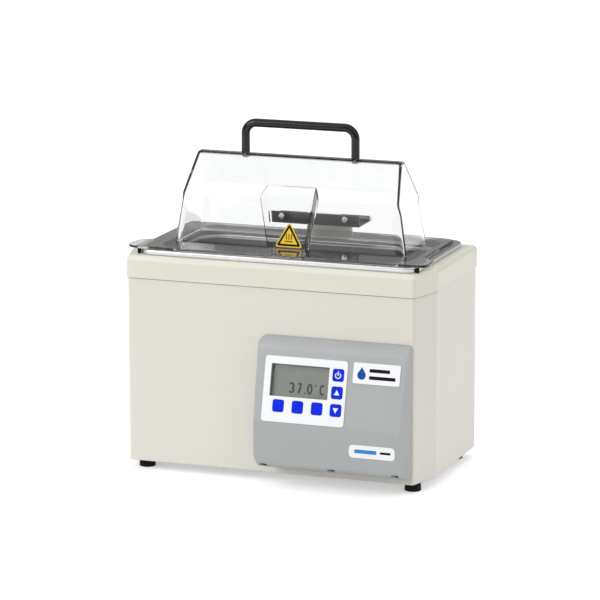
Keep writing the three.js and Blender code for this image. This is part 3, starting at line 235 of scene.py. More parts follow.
def painted_shade_basin_steel(name):
    """Polished rim over a rougher pressed basin; the basin's dark colour is painted shade, deepening towards
    the floor.
    """
    s = Surface(name, metallic=1.0, roughness=0.24)
    height = s.height()
    rim = s.between(height, 0, 1, (TANK["step_z"] - 1) * MM, (CASE["top"] - 2) * MM)
    depth = s.between(height, 0, 1, TANK["floor"] * MM, TANK["step_z"] * MM)
    streaks = s.noise(1.0, 4, 0.6, (220, 220, 1100))
    # Painted shade: the basin's steel is painted near black, darker still towards the floor, for the shade
    # inside the tank.
    basin = s.blend(depth, grey(0.06), grey(0.12))
    toned = s.blend(s.between(streaks, 0, 0.3), s.blend(rim, basin, grey(0.74)), grey(0.30))
    s.colour(s.blend(s.between(s.noise(11, 3), 0, 0.25), toned, shaded(grey(0.40), 0.9)))
    s.set("Roughness", s.between(rim, 0.36, 0.28, 0, 1))
    s.relief(streaks, 0.06, 0.04)
    return s.material


def moulded(name, colour, rough, grain=0.3, scale=1500, spread=0.03, specular=0.5):
    s = Surface(name, roughness=rough, specular_ior_level=specular)
    s.colour(s.tones(s.between(s.noise(26, 3), 0, 1), colour, 1 - spread, 1 + spread))
    s.set("Roughness", s.between(s.noise(900, 2), rough - 0.06, rough + 0.07))
    s.relief(s.cells(scale), grain, 0.05)
    s.relief(s.noise(scale * 1.7, 2, 0.6), grain * 0.6, 0.03)
    return s.material


def gloss(name, colour, rough, wave, specular):
    s = Surface(name, roughness=rough, specular_ior_level=specular)
    s.colour(s.tones(s.between(s.noise(60, 3), 0, 1), colour, 0.92, 1.08))
    s.set("Roughness", s.between(s.noise(300, 2), rough - 0.04, rough + 0.07))
    s.relief(s.noise(240, 2), wave, 0.08)
    return s.material


def film(name, colour, rough=0.34):
    s = Surface(name, roughness=rough, coat_weight=0.15, coat_roughness=0.2)
    s.colour(s.tones(s.between(s.noise(45, 2), 0, 1), colour, 0.985, 1.0))
    s.set("Roughness", s.between(s.noise(800, 2), rough - 0.05, rough + 0.05))
    s.relief(s.noise(3200, 2, 0.6), 0.1, 0.02)
    return s.material


def clear(name, tint, absorb, rough=0.01, edge_on_shade=None, span=(0.35, 0.65)):
    """Clear sheet; its edge-on tint is painted shade: the darker tint it is given where it is seen along its
    surface, over `span` of turning away.
    """
    s = Surface(name, roughness=rough, transmission_weight=1.0, ior=1.52)
    tone = s.blend(s.between(s.noise(18, 2), 0, 1), shaded(tint, 0.995), tint)
    if edge_on_shade:
        # Painted shade: the tint darkens as the surface turns edge-on to the view.
        facing = node(s.tree, "LayerWeight", {"Blend": 0.5}).outputs["Facing"]
        tone = s.blend(s.between(facing, 0, 1, *span), tone, grey(edge_on_shade))
    s.colour(tone)
    s.set("Roughness", s.between(s.noise(40, 3), 0.0, rough * 2))
    s.relief(s.noise(14, 1), 0.02, 0.3)
    tree, output = s.tree, s.tree.nodes["Material Output"]
    through = node(tree, "BsdfTransparent", {"Color": tint})
    is_shadow = node(tree, "LightPath").outputs["Is Shadow Ray"]
    mixed = node(tree, "MixShader", {"Fac": is_shadow})
    tree.links.new(s.bsdf.outputs["BSDF"], mixed.inputs[1])
    tree.links.new(through.outputs["BSDF"], mixed.inputs[2])
    tree.links.new(mixed.outputs["Shader"], output.inputs["Surface"])
    if absorb:
        volume = node(tree, "VolumeAbsorption", {"Color": shaded(tint, 0.86), "Density": absorb})
        tree.links.new(volume.outputs["Volume"], output.inputs["Volume"])
    return s.material


def woven(name, colour):
    s = Surface(name, roughness=0.9)
    fibres = s.noise(900, 6, 0.75, (1, 1, 0.3))
    s.colour(s.tones(s.between(fibres, 0, 1), colour, 0.7, 1.15))
    s.relief(fibres, 0.6, 0.4)
    return s.material


def liquid_crystal(name, green):
    """Grey-green display glass over a fine pixel grid."""
    s = Surface(name, roughness=0.3)
    base = s.tones(s.between(s.noise(30, 2), 0, 1), green, 0.95, 1.05)
    grid = s.cells(2400)
    s.colour(s.blend(s.between(grid, 0.0, 0.12, 0.0, 0.5), base, shaded(green, 0.85)))
    s.relief(grid, 0.05, 0.01)
    return s.material


def wound(name, colour):
    s = Surface(name, roughness=0.5)
    turns = node(s.tree, "TexWave", {"Vector": s.coords, "Scale": 220.0, "Distortion": 0.6},
                 bands_direction="Z").outputs["Fac"]
    s.colour(s.tones(turns, colour, 0.65, 1.1))
    s.relief(turns, 0.5, 0.4)
    return s.material


CREAM = (0.742, 0.715, 0.655, 1)
STEEL = (0.46, 0.46, 0.45, 1)
FINISHES = {
    # The 0.94 is painted shade at the top of the case.
    "case_paint": (powder_coat, CREAM, 0.42, 0.94),
    "cap_paint": (powder_coat, (0.705, 0.69, 0.60, 1)),
    "hinge_stand": (powder_coat, (0.80, 0.785, 0.735, 1), 0.38),
    "stainless": (brushed_steel, STEEL, 0.2, (260, 260, 900), 0.08),
    "tank_steel": (painted_shade_basin_steel,),
    "tray_steel": (brushed_steel, STEEL, 0.3, (30, 900, 30), 0.2),
    "hinge_steel": (brushed_steel, (0.16, 0.16, 0.16, 1), 0.36, (40, 900, 900), 0.3),
    "insulation": (woven, (0.58, 0.53, 0.43, 1)),
    "heater_silicone": (moulded, (0.36, 0.09, 0.05, 1), 0.7, 0.4, 1100, 0.06),
    "dark_plastic": (moulded, (0.012, 0.012, 0.013, 1), 0.42, 0.35, 1700, 0.08),
    "circuit_board": (moulded, (0.016, 0.085, 0.035, 1), 0.45, 0.3, 800, 0.15),
    "core_steel": (moulded, (0.07, 0.07, 0.072, 1), 0.5, 0.5, 600, 0.1),
    "coil": (wound, (0.36, 0.13, 0.035, 1)),
    "lead_red": (moulded, (0.25, 0.02, 0.015, 1), 0.5, 0.15),
    "lead_black": (moulded, (0.012, 0.012, 0.012, 1), 0.5, 0.15),
    "fascia_grey": (moulded, (0.395, 0.41, 0.41, 1), 0.46, 0.28, 1300, 0.012),
    "keypad_film": (film, (0.89, 0.90, 0.92, 1)),
    "display": (liquid_crystal, (0.225, 0.232, 0.212, 1)),
    "display_ink": (moulded, (0.028, 0.03, 0.026, 1), 0.4, 0.05),
    "display_lens": (clear, (0.97, 0.98, 0.975, 1), 0, 0.02),
    "plate_film": (film, (0.90, 0.905, 0.92, 1)),
    "blue_ink": (gloss, (0.008, 0.07, 0.36, 1), 0.35, 0.02, 0.15),
    "pale_blue_ink": (gloss, (0.04, 0.25, 0.62, 1), 0.35, 0.02, 0.15),
    "dark_ink": (gloss, (0.006, 0.006, 0.009, 1), 0.4, 0.02, 0.1),
    "white_ink": (film, (0.86, 0.88, 0.93, 1)),
    "sticker_film": (film, (0.86, 0.56, 0.012, 1), 0.3),
    "clear_lid": (clear, (0.985, 0.99, 0.99, 1), 6.0),
    # clear_bend and clear_fold carry painted shade where the lid is seen edge-on.
    "clear_bend": (clear, (0.97, 0.975, 0.975, 1), 6.0, 0.01, 0.3),
    "clear_fold": (clear, (0.97, 0.975, 0.975, 1), 6.0, 0.01, 0.2, (0.15, 0.4)),
    "handle_black": (gloss, (0.003, 0.003, 0.0035, 1), 0.13, 0.06, 0.35),
    "key_blue": (gloss, (0.003, 0.026, 0.74, 1), 0.3, 0.05, 0.07),
    "screw_zinc": (brushed_steel, (0.62, 0.62, 0.61, 1), 0.25, (300, 300, 300), 0.3),
    "foot_rubber": (moulded, (0.006, 0.006, 0.006, 1), 0.62, 0.5, 1000, 0.12, 0.15),
    "dark_screw": (moulded, (0.012, 0.012, 0.012, 1), 0.4, 0.3, 1400, 0.1),
}
MATERIALS = {name: make(name, *recipe) for name, (make, *recipe) in FINISHES.items()}


# ---- mesh helpers
def linked(name, data):
    """A new object in the scene."""
    made = bpy.data.objects.new(name, data)
    bpy.context.scene.collection.objects.link(made)
    return made


def piece(name, vertices, faces):
    mesh = bpy.data.meshes.new(name)
    mesh.from_pydata([tuple(v) for v in vertices], [], faces)
    bm = bmesh.new()
    bm.from_mesh(mesh)
    bmesh.ops.remove_doubles(bm, verts=bm.verts, dist=1e-7)
    bmesh.ops.recalc_face_normals(bm, faces=bm.faces)
    bm.to_mesh(mesh)
    bm.free()
    return linked(name, mesh)


def loft(name, rings, closed=False):
    """Skin through rings of equal length, capped at both ends or `closed` back on its first ring."""
    count = len(rings[0])
    vertices = [v for ring in rings for v in ring]
    faces = []
    for level in range(len(rings) if closed else len(rings) - 1):
        low, high = level * count, (level + 1) % len(rings) * count
        for i in range(count):
            j = (i + 1) % count
            faces.append((low + i, low + j, high + j, high + i))
    if not closed:
        faces.append(tuple(range(count))[::-1])
        faces.append(tuple(range((len(rings) - 1) * count, len(rings) * count)))
    return piece(name, vertices, faces)


def rounded(half_x, half_y, corner, inset=0.0, centre=(0, 0), steps=10):
    """Corner-rounded rectangle, moved inwards by `inset`; `corner` is one radius or all four."""
    hx, hy = half_x - inset, half_y - inset
    radii = corner if isinstance(corner, tuple) else (corner,) * 4
    points = []
    for index, (right, top) in enumerate(((1, 1), (-1, 1), (-1, -1), (1, -1))):
        r = max(radii[index] - inset, 0.3)
        middle = (centre[0] + right * (hx - r), centre[1] + top * (hy - r))
        points += arc(middle, r, 90 * index, 90 * (index + 1), steps)
    return points


def case_outline(inset):
    """Plan of the case: narrow front corners, sides that flare out, straight behind."""
    front_half_x, flare_y = CASE_PLAN["front_half_x"], CASE_PLAN["flare_y"]
    flare = atan2(CASE["half_x"] - front_half_x, flare_y + CASE["half_y"])
    radii = [max(r - inset, 0.5) for r in CASE_PLAN["radii"]]
    slope = (1 - sin(flare)) / cos(flare)
    front, side = -CASE["half_y"] + inset, CASE["half_x"] - inset
    bend_y = flare_y + inset * tan(flare / 2)
    turn = degrees(flare)
    right = arc((front_half_x - (inset + radii[0]) * slope, front + radii[0]), radii[0], -90, -turn, 8)
    right += arc((side - radii[1], bend_y + radii[1] * tan(flare / 2)), radii[1], -turn, 0, 8)
    right += arc((side - radii[2], CASE["half_y"] - inset - radii[2]), radii[2], 0, 90, 8)
    return mirrored(right, CASE_CENTRE_X)


def level(outline, z):
    return [at(x, y, z) for x, y in outline]


def stacked(outline_at, profile):
    """Rings of an outline, moved inwards and upwards as the profile's (inset, z) pairs say."""
    return [level(outline_at(inset), z) for inset, z in profile]


def ellipse(centre, radii, start, end, steps):
    """Points on an ellipse in a profile plane, angles in degrees."""
    angles = [radians(start + (end - start) * i / steps) for i in range(steps + 1)]
    return [(centre[0] + radii[0] * cos(a), centre[1] + radii[1] * sin(a)) for a in angles]


def arc(centre, radius, start, end, steps):
    return ellipse(centre, (radius, radius), start, end, steps)


def mirrored(right, centre_x=0):
    """A right-hand half with its mirror image, moved sideways to `centre_x`."""
    left = [(-x, y) for x, y in reversed(right)]
    return [(x + centre_x, y) for x, y in right + left]


def eased(before, bend, after, steps):
    """Quadratic curve through a bend, end points included, for tuples of any length."""
    points = []
    for i in range(steps + 1):
        t = i / steps
        points.append(tuple((1 - t) ** 2 * a + 2 * t * (1 - t) * b + t * t * c
                            for a, b, c in zip(before, bend, after)))
    return points


def along(first, second, distance):
    """The point `distance` along from `first` towards `second`."""
    length = dist(first, second)
    return tuple(a + (b - a) * distance / length for a, b in zip(first, second))


def turned(name, profile, place, steps=32, axis=(0, 0, 1), closed=False):
    """Solid of revolution: profile of (radius, height) pairs about `axis` through `place`."""
    turn = Vector((0, 0, 1)).rotation_difference(Vector(axis)).to_matrix()
    rings = []
    for radius, height in profile:
        ring = []
        for step in range(steps):
            angle = 2 * pi * step / steps
            local = turn @ Vector((radius * cos(angle), radius * sin(angle), height))
            ring.append(at(*(Vector(place) + local)))
        rings.append(ring)
    return loft(name, rings, closed)


def box_piece(name, x0, x1, y0, y1, z0, z1):
    rings = [[at(x0, y0, z), at(x1, y0, z), at(x1, y1, z), at(x0, y1, z)] for z in (z0, z1)]
    return loft(name, rings)


def bake(obj):
    """Turns the object's modifiers into plain mesh."""
    graph = bpy.context.evaluated_depsgraph_get()
    mesh = bpy.data.meshes.new_from_object(obj.evaluated_get(graph))
    obj.modifiers.clear()
    obj.data = mesh
    return obj


def combine(obj, other, operation="DIFFERENCE"):
    """Boolean of two solids; the second one is used up."""
    modifier = obj.modifiers.new("combine", "BOOLEAN")
    modifier.operation = operation
    modifier.solver = "EXACT"
    modifier.object = other
    bake(obj)
    bpy.data.objects.remove(other)
    return obj


def merged(name, parts):
    """One object from several separate ones."""
    bm = bmesh.new()
    for part in parts:
        bm.from_mesh(part.data)
        bpy.data.objects.remove(part)
    mesh = bpy.data.meshes.new(name)
    bm.to_mesh(mesh)
    bm.free()
    return linked(name, mesh)


def softened(obj, width, segments=2, angle=30):
    """Rounds the edges that turn by more than `angle` degrees."""
    modifier = obj.modifiers.new("edge", "BEVEL")
    modifier.width = width * MM
    modifier.segments = segments
    modifier.limit_method = "ANGLE"
    modifier.angle_limit = radians(angle)
    modifier.harden_normals = True
    modifier.miter_outer = "MITER_ARC"


def painted(obj, finish):
    """Smooth shading that keeps flat faces flat, and one material."""
    obj.data.polygons.foreach_set("use_smooth", [True] * len(obj.data.polygons))
    weighted = obj.modifiers.new("shading", "WEIGHTED_NORMAL")
    weighted.keep_sharp = True
    obj.data.materials.clear()
    obj.data.materials.append(MATERIALS[finish])


def finished(obj, finish, body, *replaced, sharp=35):
    """Paints a piece and fixes it to its body, in place of the CAD nodes it stands for."""
    painted(obj, finish)
    obj.data.set_sharp_from_angle(angle=radians(sharp))
    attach(obj, body)
    if replaced:
        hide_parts(*replaced)


def dressed(name, finish, bevel):
    """Keeps a CAD node's shape and gives it eased edges and its material."""
    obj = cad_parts[name]
    weld = obj.modifiers.new("weld", "WELD")
    weld.merge_threshold = 1e-6
    if bevel:
        softened(obj, bevel)
    painted(obj, finish)


# ---- frames on the fascia and the lid
def tilted(x0, y0, z0, tilt):
    """Places points on a sloping face: x to the right, v up the slope, h out of it."""
    def place(x, v, h):
        return at(x0 + x, y0 + v * sin(tilt) - h * cos(tilt), z0 + v * cos(tilt) + h * sin(tilt))
    return place


# The fascia's sloping face, and the back wall of the recess in the lid.
on_panel = tilted(0, PANEL_Y, PANEL_Z, PANEL_TILT)
on_recess = tilted(LID_CENTRE[0], RECESS["bottom_y"], DOME_BASE[3], RECESS_TILT)


def on_lower_face(x, z, h):
    return at(x, FRONT_FACE - h, z)


def drawn(surface, lines):
    """Rings on a face from pairs of an outline and its height."""
    return [[surface(x, v, h) for x, v in line] for line, h in lines]


def plate(name, surface, outline_at, low, high, edge=0.0, steps=4):
    """A flat plate on a face. `outline_at(inset)` gives its outline; `edge` rounds its front edge."""
    lines = [(outline_at(0), low)]
    for step in range(steps + 1 if edge else 1):
        angle = pi / 2 * step / steps if edge else 0
        lines.append((outline_at(edge * (1 - cos(angle))), high - edge + edge * sin(angle)))
    return loft(name, drawn(surface, lines))


def rectangle(x, v, width, height, corner, steps=6):
    return lambda inset: rounded(width / 2, height / 2, corner, inset, (x, v), steps)


def panel_of(spec, extra=0.0):
    """The outline that a table of sizes gives, `extra` wider and higher."""
    return rectangle(spec["x"], spec["v"], spec["width"] + extra, spec["height"] + extra, spec["corner"])


def stroke(name, points, width, low, high, closed=False):
    """A flat stroke of even width through points on the sloping face."""
    left, right = [], []
    last = len(points) - 1
    for i, (x, v) in enumerate(points):
        before = points[i - 1] if i or closed else points[0]
        after = points[(i + 1) % len(points)] if i < last or closed else points[last]
        dx, dv = after[0] - before[0], after[1] - before[1]
        reach = width / 2 / hypot(dx, dv)
        left.append((x - dv * reach, v + dx * reach))
        right.append((x + dv * reach, v - dx * reach))
    if closed:
        lines = ((left, low), (left, high), (right, high), (right, low))
    else:
        lines = ((left + right[::-1], low), (left + right[::-1], high))
    return loft(name, drawn(on_panel, lines), closed)


# ---- case
def build_case():
    edge, fold = 0.5, 1.4
    profile = [(fold - r, z) for r, z in arc((0, CASE["bottom"] + fold), fold, 270, 360, 6)]
    top = CASE["seam"] - GAP
    profile += [(0, top - edge), (edge * 0.3, top - edge * 0.3), (edge, top), (SHEET, top),
                (SHEET, CASE["bottom"])]
    wrap = loft("case_wrap", stacked(case_outline, profile), closed=True)
    for opening in OPENINGS:
        combine(wrap, box_piece("cut", *opening))
    finished(wrap, "case_paint", "housing", "outer_case")


def build_cap():
    out, edge, wall = -CAP["overhang"], CAP["edge"], CAP["wall"]
    low, top = CASE["seam"] + GAP, CASE["top"]
    mouth_x, mouth_y = TANK["half_x"] + CAP["mouth"], TANK["half_y"] + CAP["mouth"]
    profile = [(out + wall, low), (out + 0.5, low), (out + 0.15, low + 0.15), (out, low + 0.5)]
    profile += [(out + edge - r, z) for r, z in arc((0, top - edge), edge, 0, 90, 8)]
    profile += [(out + edge + 2, top), (out + edge + 2, top - wall)]
    profile += [(out + edge - r, z) for r, z in arc((0, top - edge), edge - wall, 90, 0, 6)]
    cap = loft("cap_sides", stacked(case_outline, profile), closed=True)
    deck = loft("cap_deck", stacked(case_outline, ((out + edge + 1, top - wall), (out + edge + 1, top))))
    mouth = rounded(mouth_x, mouth_y, TANK["corner"] + CAP["mouth"])
    combine(deck, loft("cut", [level(mouth, z) for z in (top - 20, top + 20)]))
    combine(cap, deck, "UNION")
    cap.name = "top_cap"
    finished(cap, "cap_paint", "housing", "top_cover", sharp=30)


def build_tank():
    """Pressed basin, its stepped wall and the rim with a folded hem, as one sheet."""
    def sheet(size, profile):
        return stacked(rectangle(0, 0, 2 * size["half_x"], 2 * size["half_y"], size["corner"], 12), profile)

    step, radius, wall = TANK["step"] + TANK["draft"], TANK["floor_radius"], TANK["wall"]
    floor, step_z, top = TANK["floor"], TANK["step_z"], RIM["top"]
    inside = [(step + radius - r, z) for r, z in arc((0, floor + radius), radius, 270, 360, 8)]
    wall_top = (TANK["step"], step_z - 1.5)
    inside += eased((step - 0.05, step_z - 90), (TANK["step"] + 0.02, step_z - 30), wall_top, 4)[1:]
    inside += eased((TANK["step"], step_z - 1), (TANK["step"], step_z + 0.6),
                    (TANK["step"] - 1.4, step_z + 1), 4)
    inside += eased((1.2, step_z + 1.2), (0.1, step_z + 1.5), (0, step_z + 3), 4)
    inside += eased((0, top - 2.2), (0, top), (-2.2, top), 6)
    hem, hem_z = RIM["hem"], CASE["top"] + GAP
    rim = [(6, top), *eased((2.4, top), (0, top), (0, top - 2.4), 7), (0, hem_z + 0.6), (0.3, hem_z),
           (hem - 0.3, hem_z), (hem, hem_z + 0.6), (hem, top - wall - 1.2), (hem + 1.4, top - wall)]
    outside = [(-3.4, top - wall), (-1.4, top - wall - 0.4), (-wall, top - wall - 2.4), (-wall, step_z + 1.6),
               (TANK["step"] - wall, step_z - 0.6), (step - wall, step_z - 90)]
    outside += [(step + radius - r, z) for r, z in arc((0, floor + radius), radius + wall, 360, 270, 8)]
    rings = sheet(TANK, inside) + sheet(RIM, rim) + sheet(TANK, outside)
    finished(loft("tank_liner", rings), "tank_steel", "housing", "tank", sharp=50)


def build_tray():
    low, top = TANK["floor"] + GAP, TRAY["top"]
    half_x, half_y, corner = TRAY["half_x"], TRAY["half_y"], TRAY["corner"]
    edge = 1.6
    profile = [(0, low), (0, top - edge)] + eased((0, top - edge), (0, top), (edge, top), 6)
    tray = loft("tray_plate", stacked(rectangle(0, 0, 2 * half_x, 2 * half_y, corner, 8), profile))
    # Hollowed between its folded edges, then opened at both ends between the corners.
    for x, y in ((half_x - TRAY["foot"], half_y - SHEET), (half_x + 9, half_y - corner)):
        combine(tray, box_piece("cut", -x, x, -y, y, low - 16, top - SHEET))
    drills = []
    for column in range(TRAY_HOLES["columns"]):
        for row in range(TRAY_HOLES["rows"]):
            x = (column - (TRAY_HOLES["columns"] - 1) / 2) * TRAY_HOLES["pitch_x"]
            y = (row - (TRAY_HOLES["rows"] - 1) / 2) * TRAY_HOLES["pitch_y"]
            drills.append(turned("drill", [(TRAY["hole"], -6), (TRAY["hole"], 6)], (x, y, top), 24))
    combine(tray, merged("drills", drills))
    softened(tray, 0.3, angle=40)
    finished(tray, "tray_steel", "tray", "diffuser_tray")


def build_feet():
    profile = [(4.2, 0.3), (4.6, 0), (8.6, 0), (9.2, 0.25), (9.5, 0.8), (9.4, 3.2), (8.9, 8.6), (8.5, 9.8),
               (8.1, 10.2), (2.6, 10.2), (2.3, 9.9), (2.3, 5.4), (2.5, 5.2), (4.0, 5.2), (4.2, 5.0)]
    for side in ("left", "right"):
        for end, y in (("front", -FOOT["y"]), ("rear", FOOT["y"])):
            name = f"foot_{end}_{side}"
            low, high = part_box(name)
            scale = (high.z - low.z) / MM / FOOT["height"]
            scaled = [(radius, height * scale) for radius, height in profile]
            foot = turned("rubber_" + name, scaled, (FOOT[side], y, 0), 40, closed=True)
            finished(foot, "foot_rubber", "housing", name)


# ---- fascia and its fittings
def fascia_profile(inset):
    """Side profile of the moulding as (y, z): up its back, then down its front to the lip."""
    back = -CASE["half_y"] - GAP + (5 if inset else 0)
    lean, depth, ease, chin_z = tan(PANEL_TILT), FASCIA["depth"], CHIN["ease"], CHIN["z"]
    low, high, lip = FASCIA["z0"] + inset, FASCIA["z1"] - inset, FASCIA["z0"] + CHIN["lip"] + inset
    front = [(2, high)]
    front += eased((2, high - 1), (SHOULDER["depth"] - lean * 9, SHOULDER["z"] + 9 - inset),
                   (SHOULDER["depth"], SHOULDER["z"] - inset / 2), 10)
    front += eased((depth - lean * ease, chin_z + ease), (depth, chin_z), (depth, chin_z - CHIN["bend"]), 10)
    front += eased((depth, CHIN["lower_z"] + inset), (depth, lip), (depth - 6, lip - 1), 10)
    return [(back, low), (back, high)] + [(inset - CASE["half_y"] - y, z) for y, z in front]


def fascia_shell(name, inset):
    """The side profile drawn across X, trimmed by the drafted front outline."""
    x0, x1 = FASCIA["x0"] - 20, FASCIA["x1"] + 20
    profile = fascia_profile(inset)
    prism = loft(name, [[at(x, y, z) for y, z in profile] for x in (x0, x1)])
    half_x, half_z = (FASCIA["x1"] - FASCIA["x0"]) / 2, (FASCIA["z1"] - FASCIA["z0"]) / 2
    centre = ((FASCIA["x0"] + FASCIA["x1"]) / 2, (FASCIA["z0"] + FASCIA["z1"]) / 2)
    spread = FASCIA["draft"] / FASCIA["depth"]
    rings = []
    for y in (FRONT_FACE - 12, -CASE["half_y"] + 12):
        draft = spread * (-CASE["half_y"] - y) + inset
        outline = rounded(half_x - draft, half_z - inset, FASCIA["corners"], 0, centre, 8)
        rings.append([at(x, y, z) for x, z in outline])
    return combine(prism, loft("trim", rings), "INTERSECT")


def key_outline(key, extra=0.0):
    """Outline of a key at its place on the sloping face."""
    x, v = KEYS[key]
    return panel_of({**KEY, "x": x, "v": v}, extra)


def build_fascia():
    shell = fascia_shell("fascia_moulding", 0)
    softened(shell, 1.3, 4, 28)
    bake(shell)
    combine(shell, fascia_shell("cut", FASCIA["wall"]))
    combine(shell, plate("cut", on_panel, panel_of(SCREEN), *PANEL_CUT))
    holes = [plate("cut", on_panel, key_outline(key, 2 * GAP), *PANEL_CUT) for key in KEYS]
    combine(shell, merged("cut", holes))
    notch, notch_y = FASCIA_SCREW["notch"], FRONT_FACE + FASCIA_SCREW["setback"]
    holes = [turned("cut", [(notch, 0), (notch, FASCIA_SCREW["z"])], (x, notch_y, 0)) for x in FASCIA_SCREW_X]
    combine(shell, merged("cut", holes))
    finished(shell, "fascia_grey", "housing", "fascia", sharp=38)


def build_keys():
    top = GAP + FILM + KEY["proud"]
    for name in KEYS:
        cap = plate(f"key_cap_{name}", on_panel, key_outline(name), -KEY["stem"], top, 0.45, 5)
        finished(cap, "key_blue", f"button_{name}", f"key_{name}", sharp=50)
    ink = (top - 0.02, top + 0.08)
    for name, sign in (("up", 1), ("down", -1)):
        x, v = KEYS[name]
        arrow = [(x - 3.3, v - 2.6 * sign), (x + 3.3, v - 2.6 * sign), (x, v + 3.2 * sign)][::sign]
        made = plate(f"icon_{name}", on_panel, lambda inset: arrow, *ink)
        finished(made, "white_ink", f"button_{name}")
    x, v = KEYS["power"]
    ring = stroke("icon_power_ring", arc((x, v - 0.3), 3.15, 125, 415, 28), 1.1, *ink)
    bar = plate("icon_power_bar", on_panel, rectangle(x, v + 2.0, 1.2, 5.2, 0.5), *ink)
    for mark in (ring, bar):
        finished(mark, "white_ink", "button_power")


def build_display():
    """Window, display glass and the reading 37.0 with its degree mark."""
    dressed("display_window", "display_lens", 0.1)
    dressed("display_module", "display", 0.2)
    face = -FASCIA["wall"] - 2 * GAP - 1.2
    ink = (face + 0.02, face + 0.12)
    wide, tall, bold = READING["half_width"], READING["half_height"], READING["stroke"]
    middle, bowl = READING["v"], READING["half_height"] / 2
    three, seven, zero, unit = READING["digits"]
    curve = ellipse((three, middle + bowl), (wide, bowl), 155, -62, 20)
    curve += ellipse((three, middle - bowl), (wide + 0.2, bowl), 62, -155, 20)
    bar = [(seven - wide, middle + tall), (seven + wide - 0.6, middle + tall)]
    leg = [(seven + wide - 0.8, middle + tall - 0.4), (seven - 0.9, middle - tall - 0.8)]
    ring = ellipse((zero, middle), (wide, tall), 0, 360, 36)[:-1]
    celsius = ellipse((unit, middle), (wide, tall), 48, 312, 30)
    dot = rectangle(READING["point"], middle - tall, 1.8, 1.8, 0.4)
    degree = arc((READING["degree"], middle + tall - 0.9), 1.1, 0, 360, 20)[:-1]
    marks = [stroke("reading_three", curve, bold, *ink), stroke("reading_seven_bar", bar, bold, *ink),
             stroke("reading_seven_leg", leg, bold, *ink),
             stroke("reading_zero", ring, bold, *ink, closed=True),
             stroke("reading_unit", celsius, bold, *ink), plate("reading_point", on_panel, dot, *ink),
             stroke("reading_degree", degree, 0.7, *ink, closed=True)]
    for mark in marks:
        finished(mark, "display_ink", "housing")


def build_plates():
    """Nameplate and lower label with plain generic marks in place of any name."""
    dressed("keypad_overlay", "keypad_film", 0.12)
    top = GAP + FILM
    for name, spec, surface in (("badge", BADGE, on_panel), ("label", LABEL, on_lower_face)):
        made = plate(name + "_film", surface, panel_of(spec), GAP, top, 0.2)
        finished(made, "plate_film", "housing", name + "_plate", sharp=50)
    ink = (top - 0.03, top + 0.05)
    x, v = BADGE["x"] - 17.5, BADGE["v"] - 0.3
    drop = [(x, v + 7.2), *arc((x, v - 1.9), 5.0, 35, -215, 24)]
    finished(plate("badge_drop", on_panel, lambda inset: drop, *ink), "blue_ink", "housing")
    left, middle = BADGE["x"] - 8.5, BADGE["v"] - 0.4
    label_x, label_v = LABEL["x"], LABEL["v"] + 0.3
    bars = (("badge_bar_upper", on_panel, left, middle + 4, 24, 3.9, 0.8, "dark_ink"),
            ("badge_bar_lower", on_panel, left, middle - 4, 31, 3.9, 0.8, "dark_ink"),
            ("label_bar_long", on_lower_face, label_x - 20.5, label_v, 26, 4.4, 0.9, "pale_blue_ink"),
            ("label_bar_short", on_lower_face, label_x + 9.5, label_v, 12.5, 2.6, 0.9, "dark_ink"))
    for name, surface, start, v, length, height, corner, finish in bars:
        bar = rectangle(start + length / 2, v, length, height, corner)
        finished(plate(name, surface, bar, *ink), finish, "housing")


# ---- lid
def dome(name, inset):
    """Folded dome: steep lower walls, long slopes above them and a narrow flat ridge, all with soft folds."""
    base, kink, ridge = DOME_BASE, DOME_KINK, DOME_RIDGE
    slide = -6 if inset else 0
    base = (*base[:3], base[3] + slide)
    kink = (*kink[:3], kink[3] - inset * 0.3)
    ridge = (ridge[0], ridge[1] + inset * 0.8, ridge[2], ridge[3] - inset)
    soft = 3.0 - inset * 0.5
    flat = (ridge[0] - soft, ridge[1] - soft, 0.5, ridge[3])
    hx, hy, _, z = along(kink, base, 12)
    fold_end = (hx, hy, (base[2] + kink[2]) / 2 + 1.5, z)
    levels = [base, fold_end] + eased(along(kink, base, soft), kink, along(kink, ridge, soft), 5)
    levels += eased(along(ridge, kink, soft), ridge, flat, 6)
    rings = [level(rounded(hx, hy, max(corner, inset + 0.6), inset, LID_CENTRE, 8), z)
             for hx, hy, corner, z in levels]
    return loft(name, rings)


def recess_cut(name, wall):
    """Wedge taken out of the front of the dome, with rounded inner corners."""
    rise = RECESS["top_z"] - DOME_BASE[3]
    rings = []
    for z in (DOME_BASE[3] - 20, DOME_RIDGE[3] + 20):
        t = (z - DOME_BASE[3]) / rise
        y = RECESS["bottom_y"] + (RECESS["top_y"] - RECESS["bottom_y"]) * t + wall
        half = RECESS["bottom_half"] + (RECESS["top_half"] - RECESS["bottom_half"]) * t + wall * 0.4
        reach = RECESS["flare"] + wall
        mouth, bend = (half + reach, y - reach), (half, y)
        right = [mouth, *eased(along(bend, mouth, 2.0), bend, along(bend, (-half, y), 2.0), 5)]
        rings.append(level(mirrored(right, LID_CENTRE[0])[::-1], z))
    return loft(name, rings)


def flange_outline(inset):
    """Plan of the lid's flange, with an ear at each front corner."""
    half_x, y0, y1 = FLANGE["half_x"] - inset, FLANGE["y0"] + inset, FLANGE["y1"] - inset
    ear_x, radius, corner = EAR["x"] - inset, EAR["radius"] - inset, FLANGE["corner"] - inset
    bend_y = EAR["back_y"] - 4
    right = arc((ear_x - radius, y0 + radius), radius, 270, 360, 8)
    right += eased((ear_x, EAR["y"]), (ear_x, bend_y), (half_x, EAR["back_y"]), 10)
    right += arc((half_x - corner, y1 - corner), corner, 0, 90, 8)
    return mirrored(right, FLANGE["centre_x"])


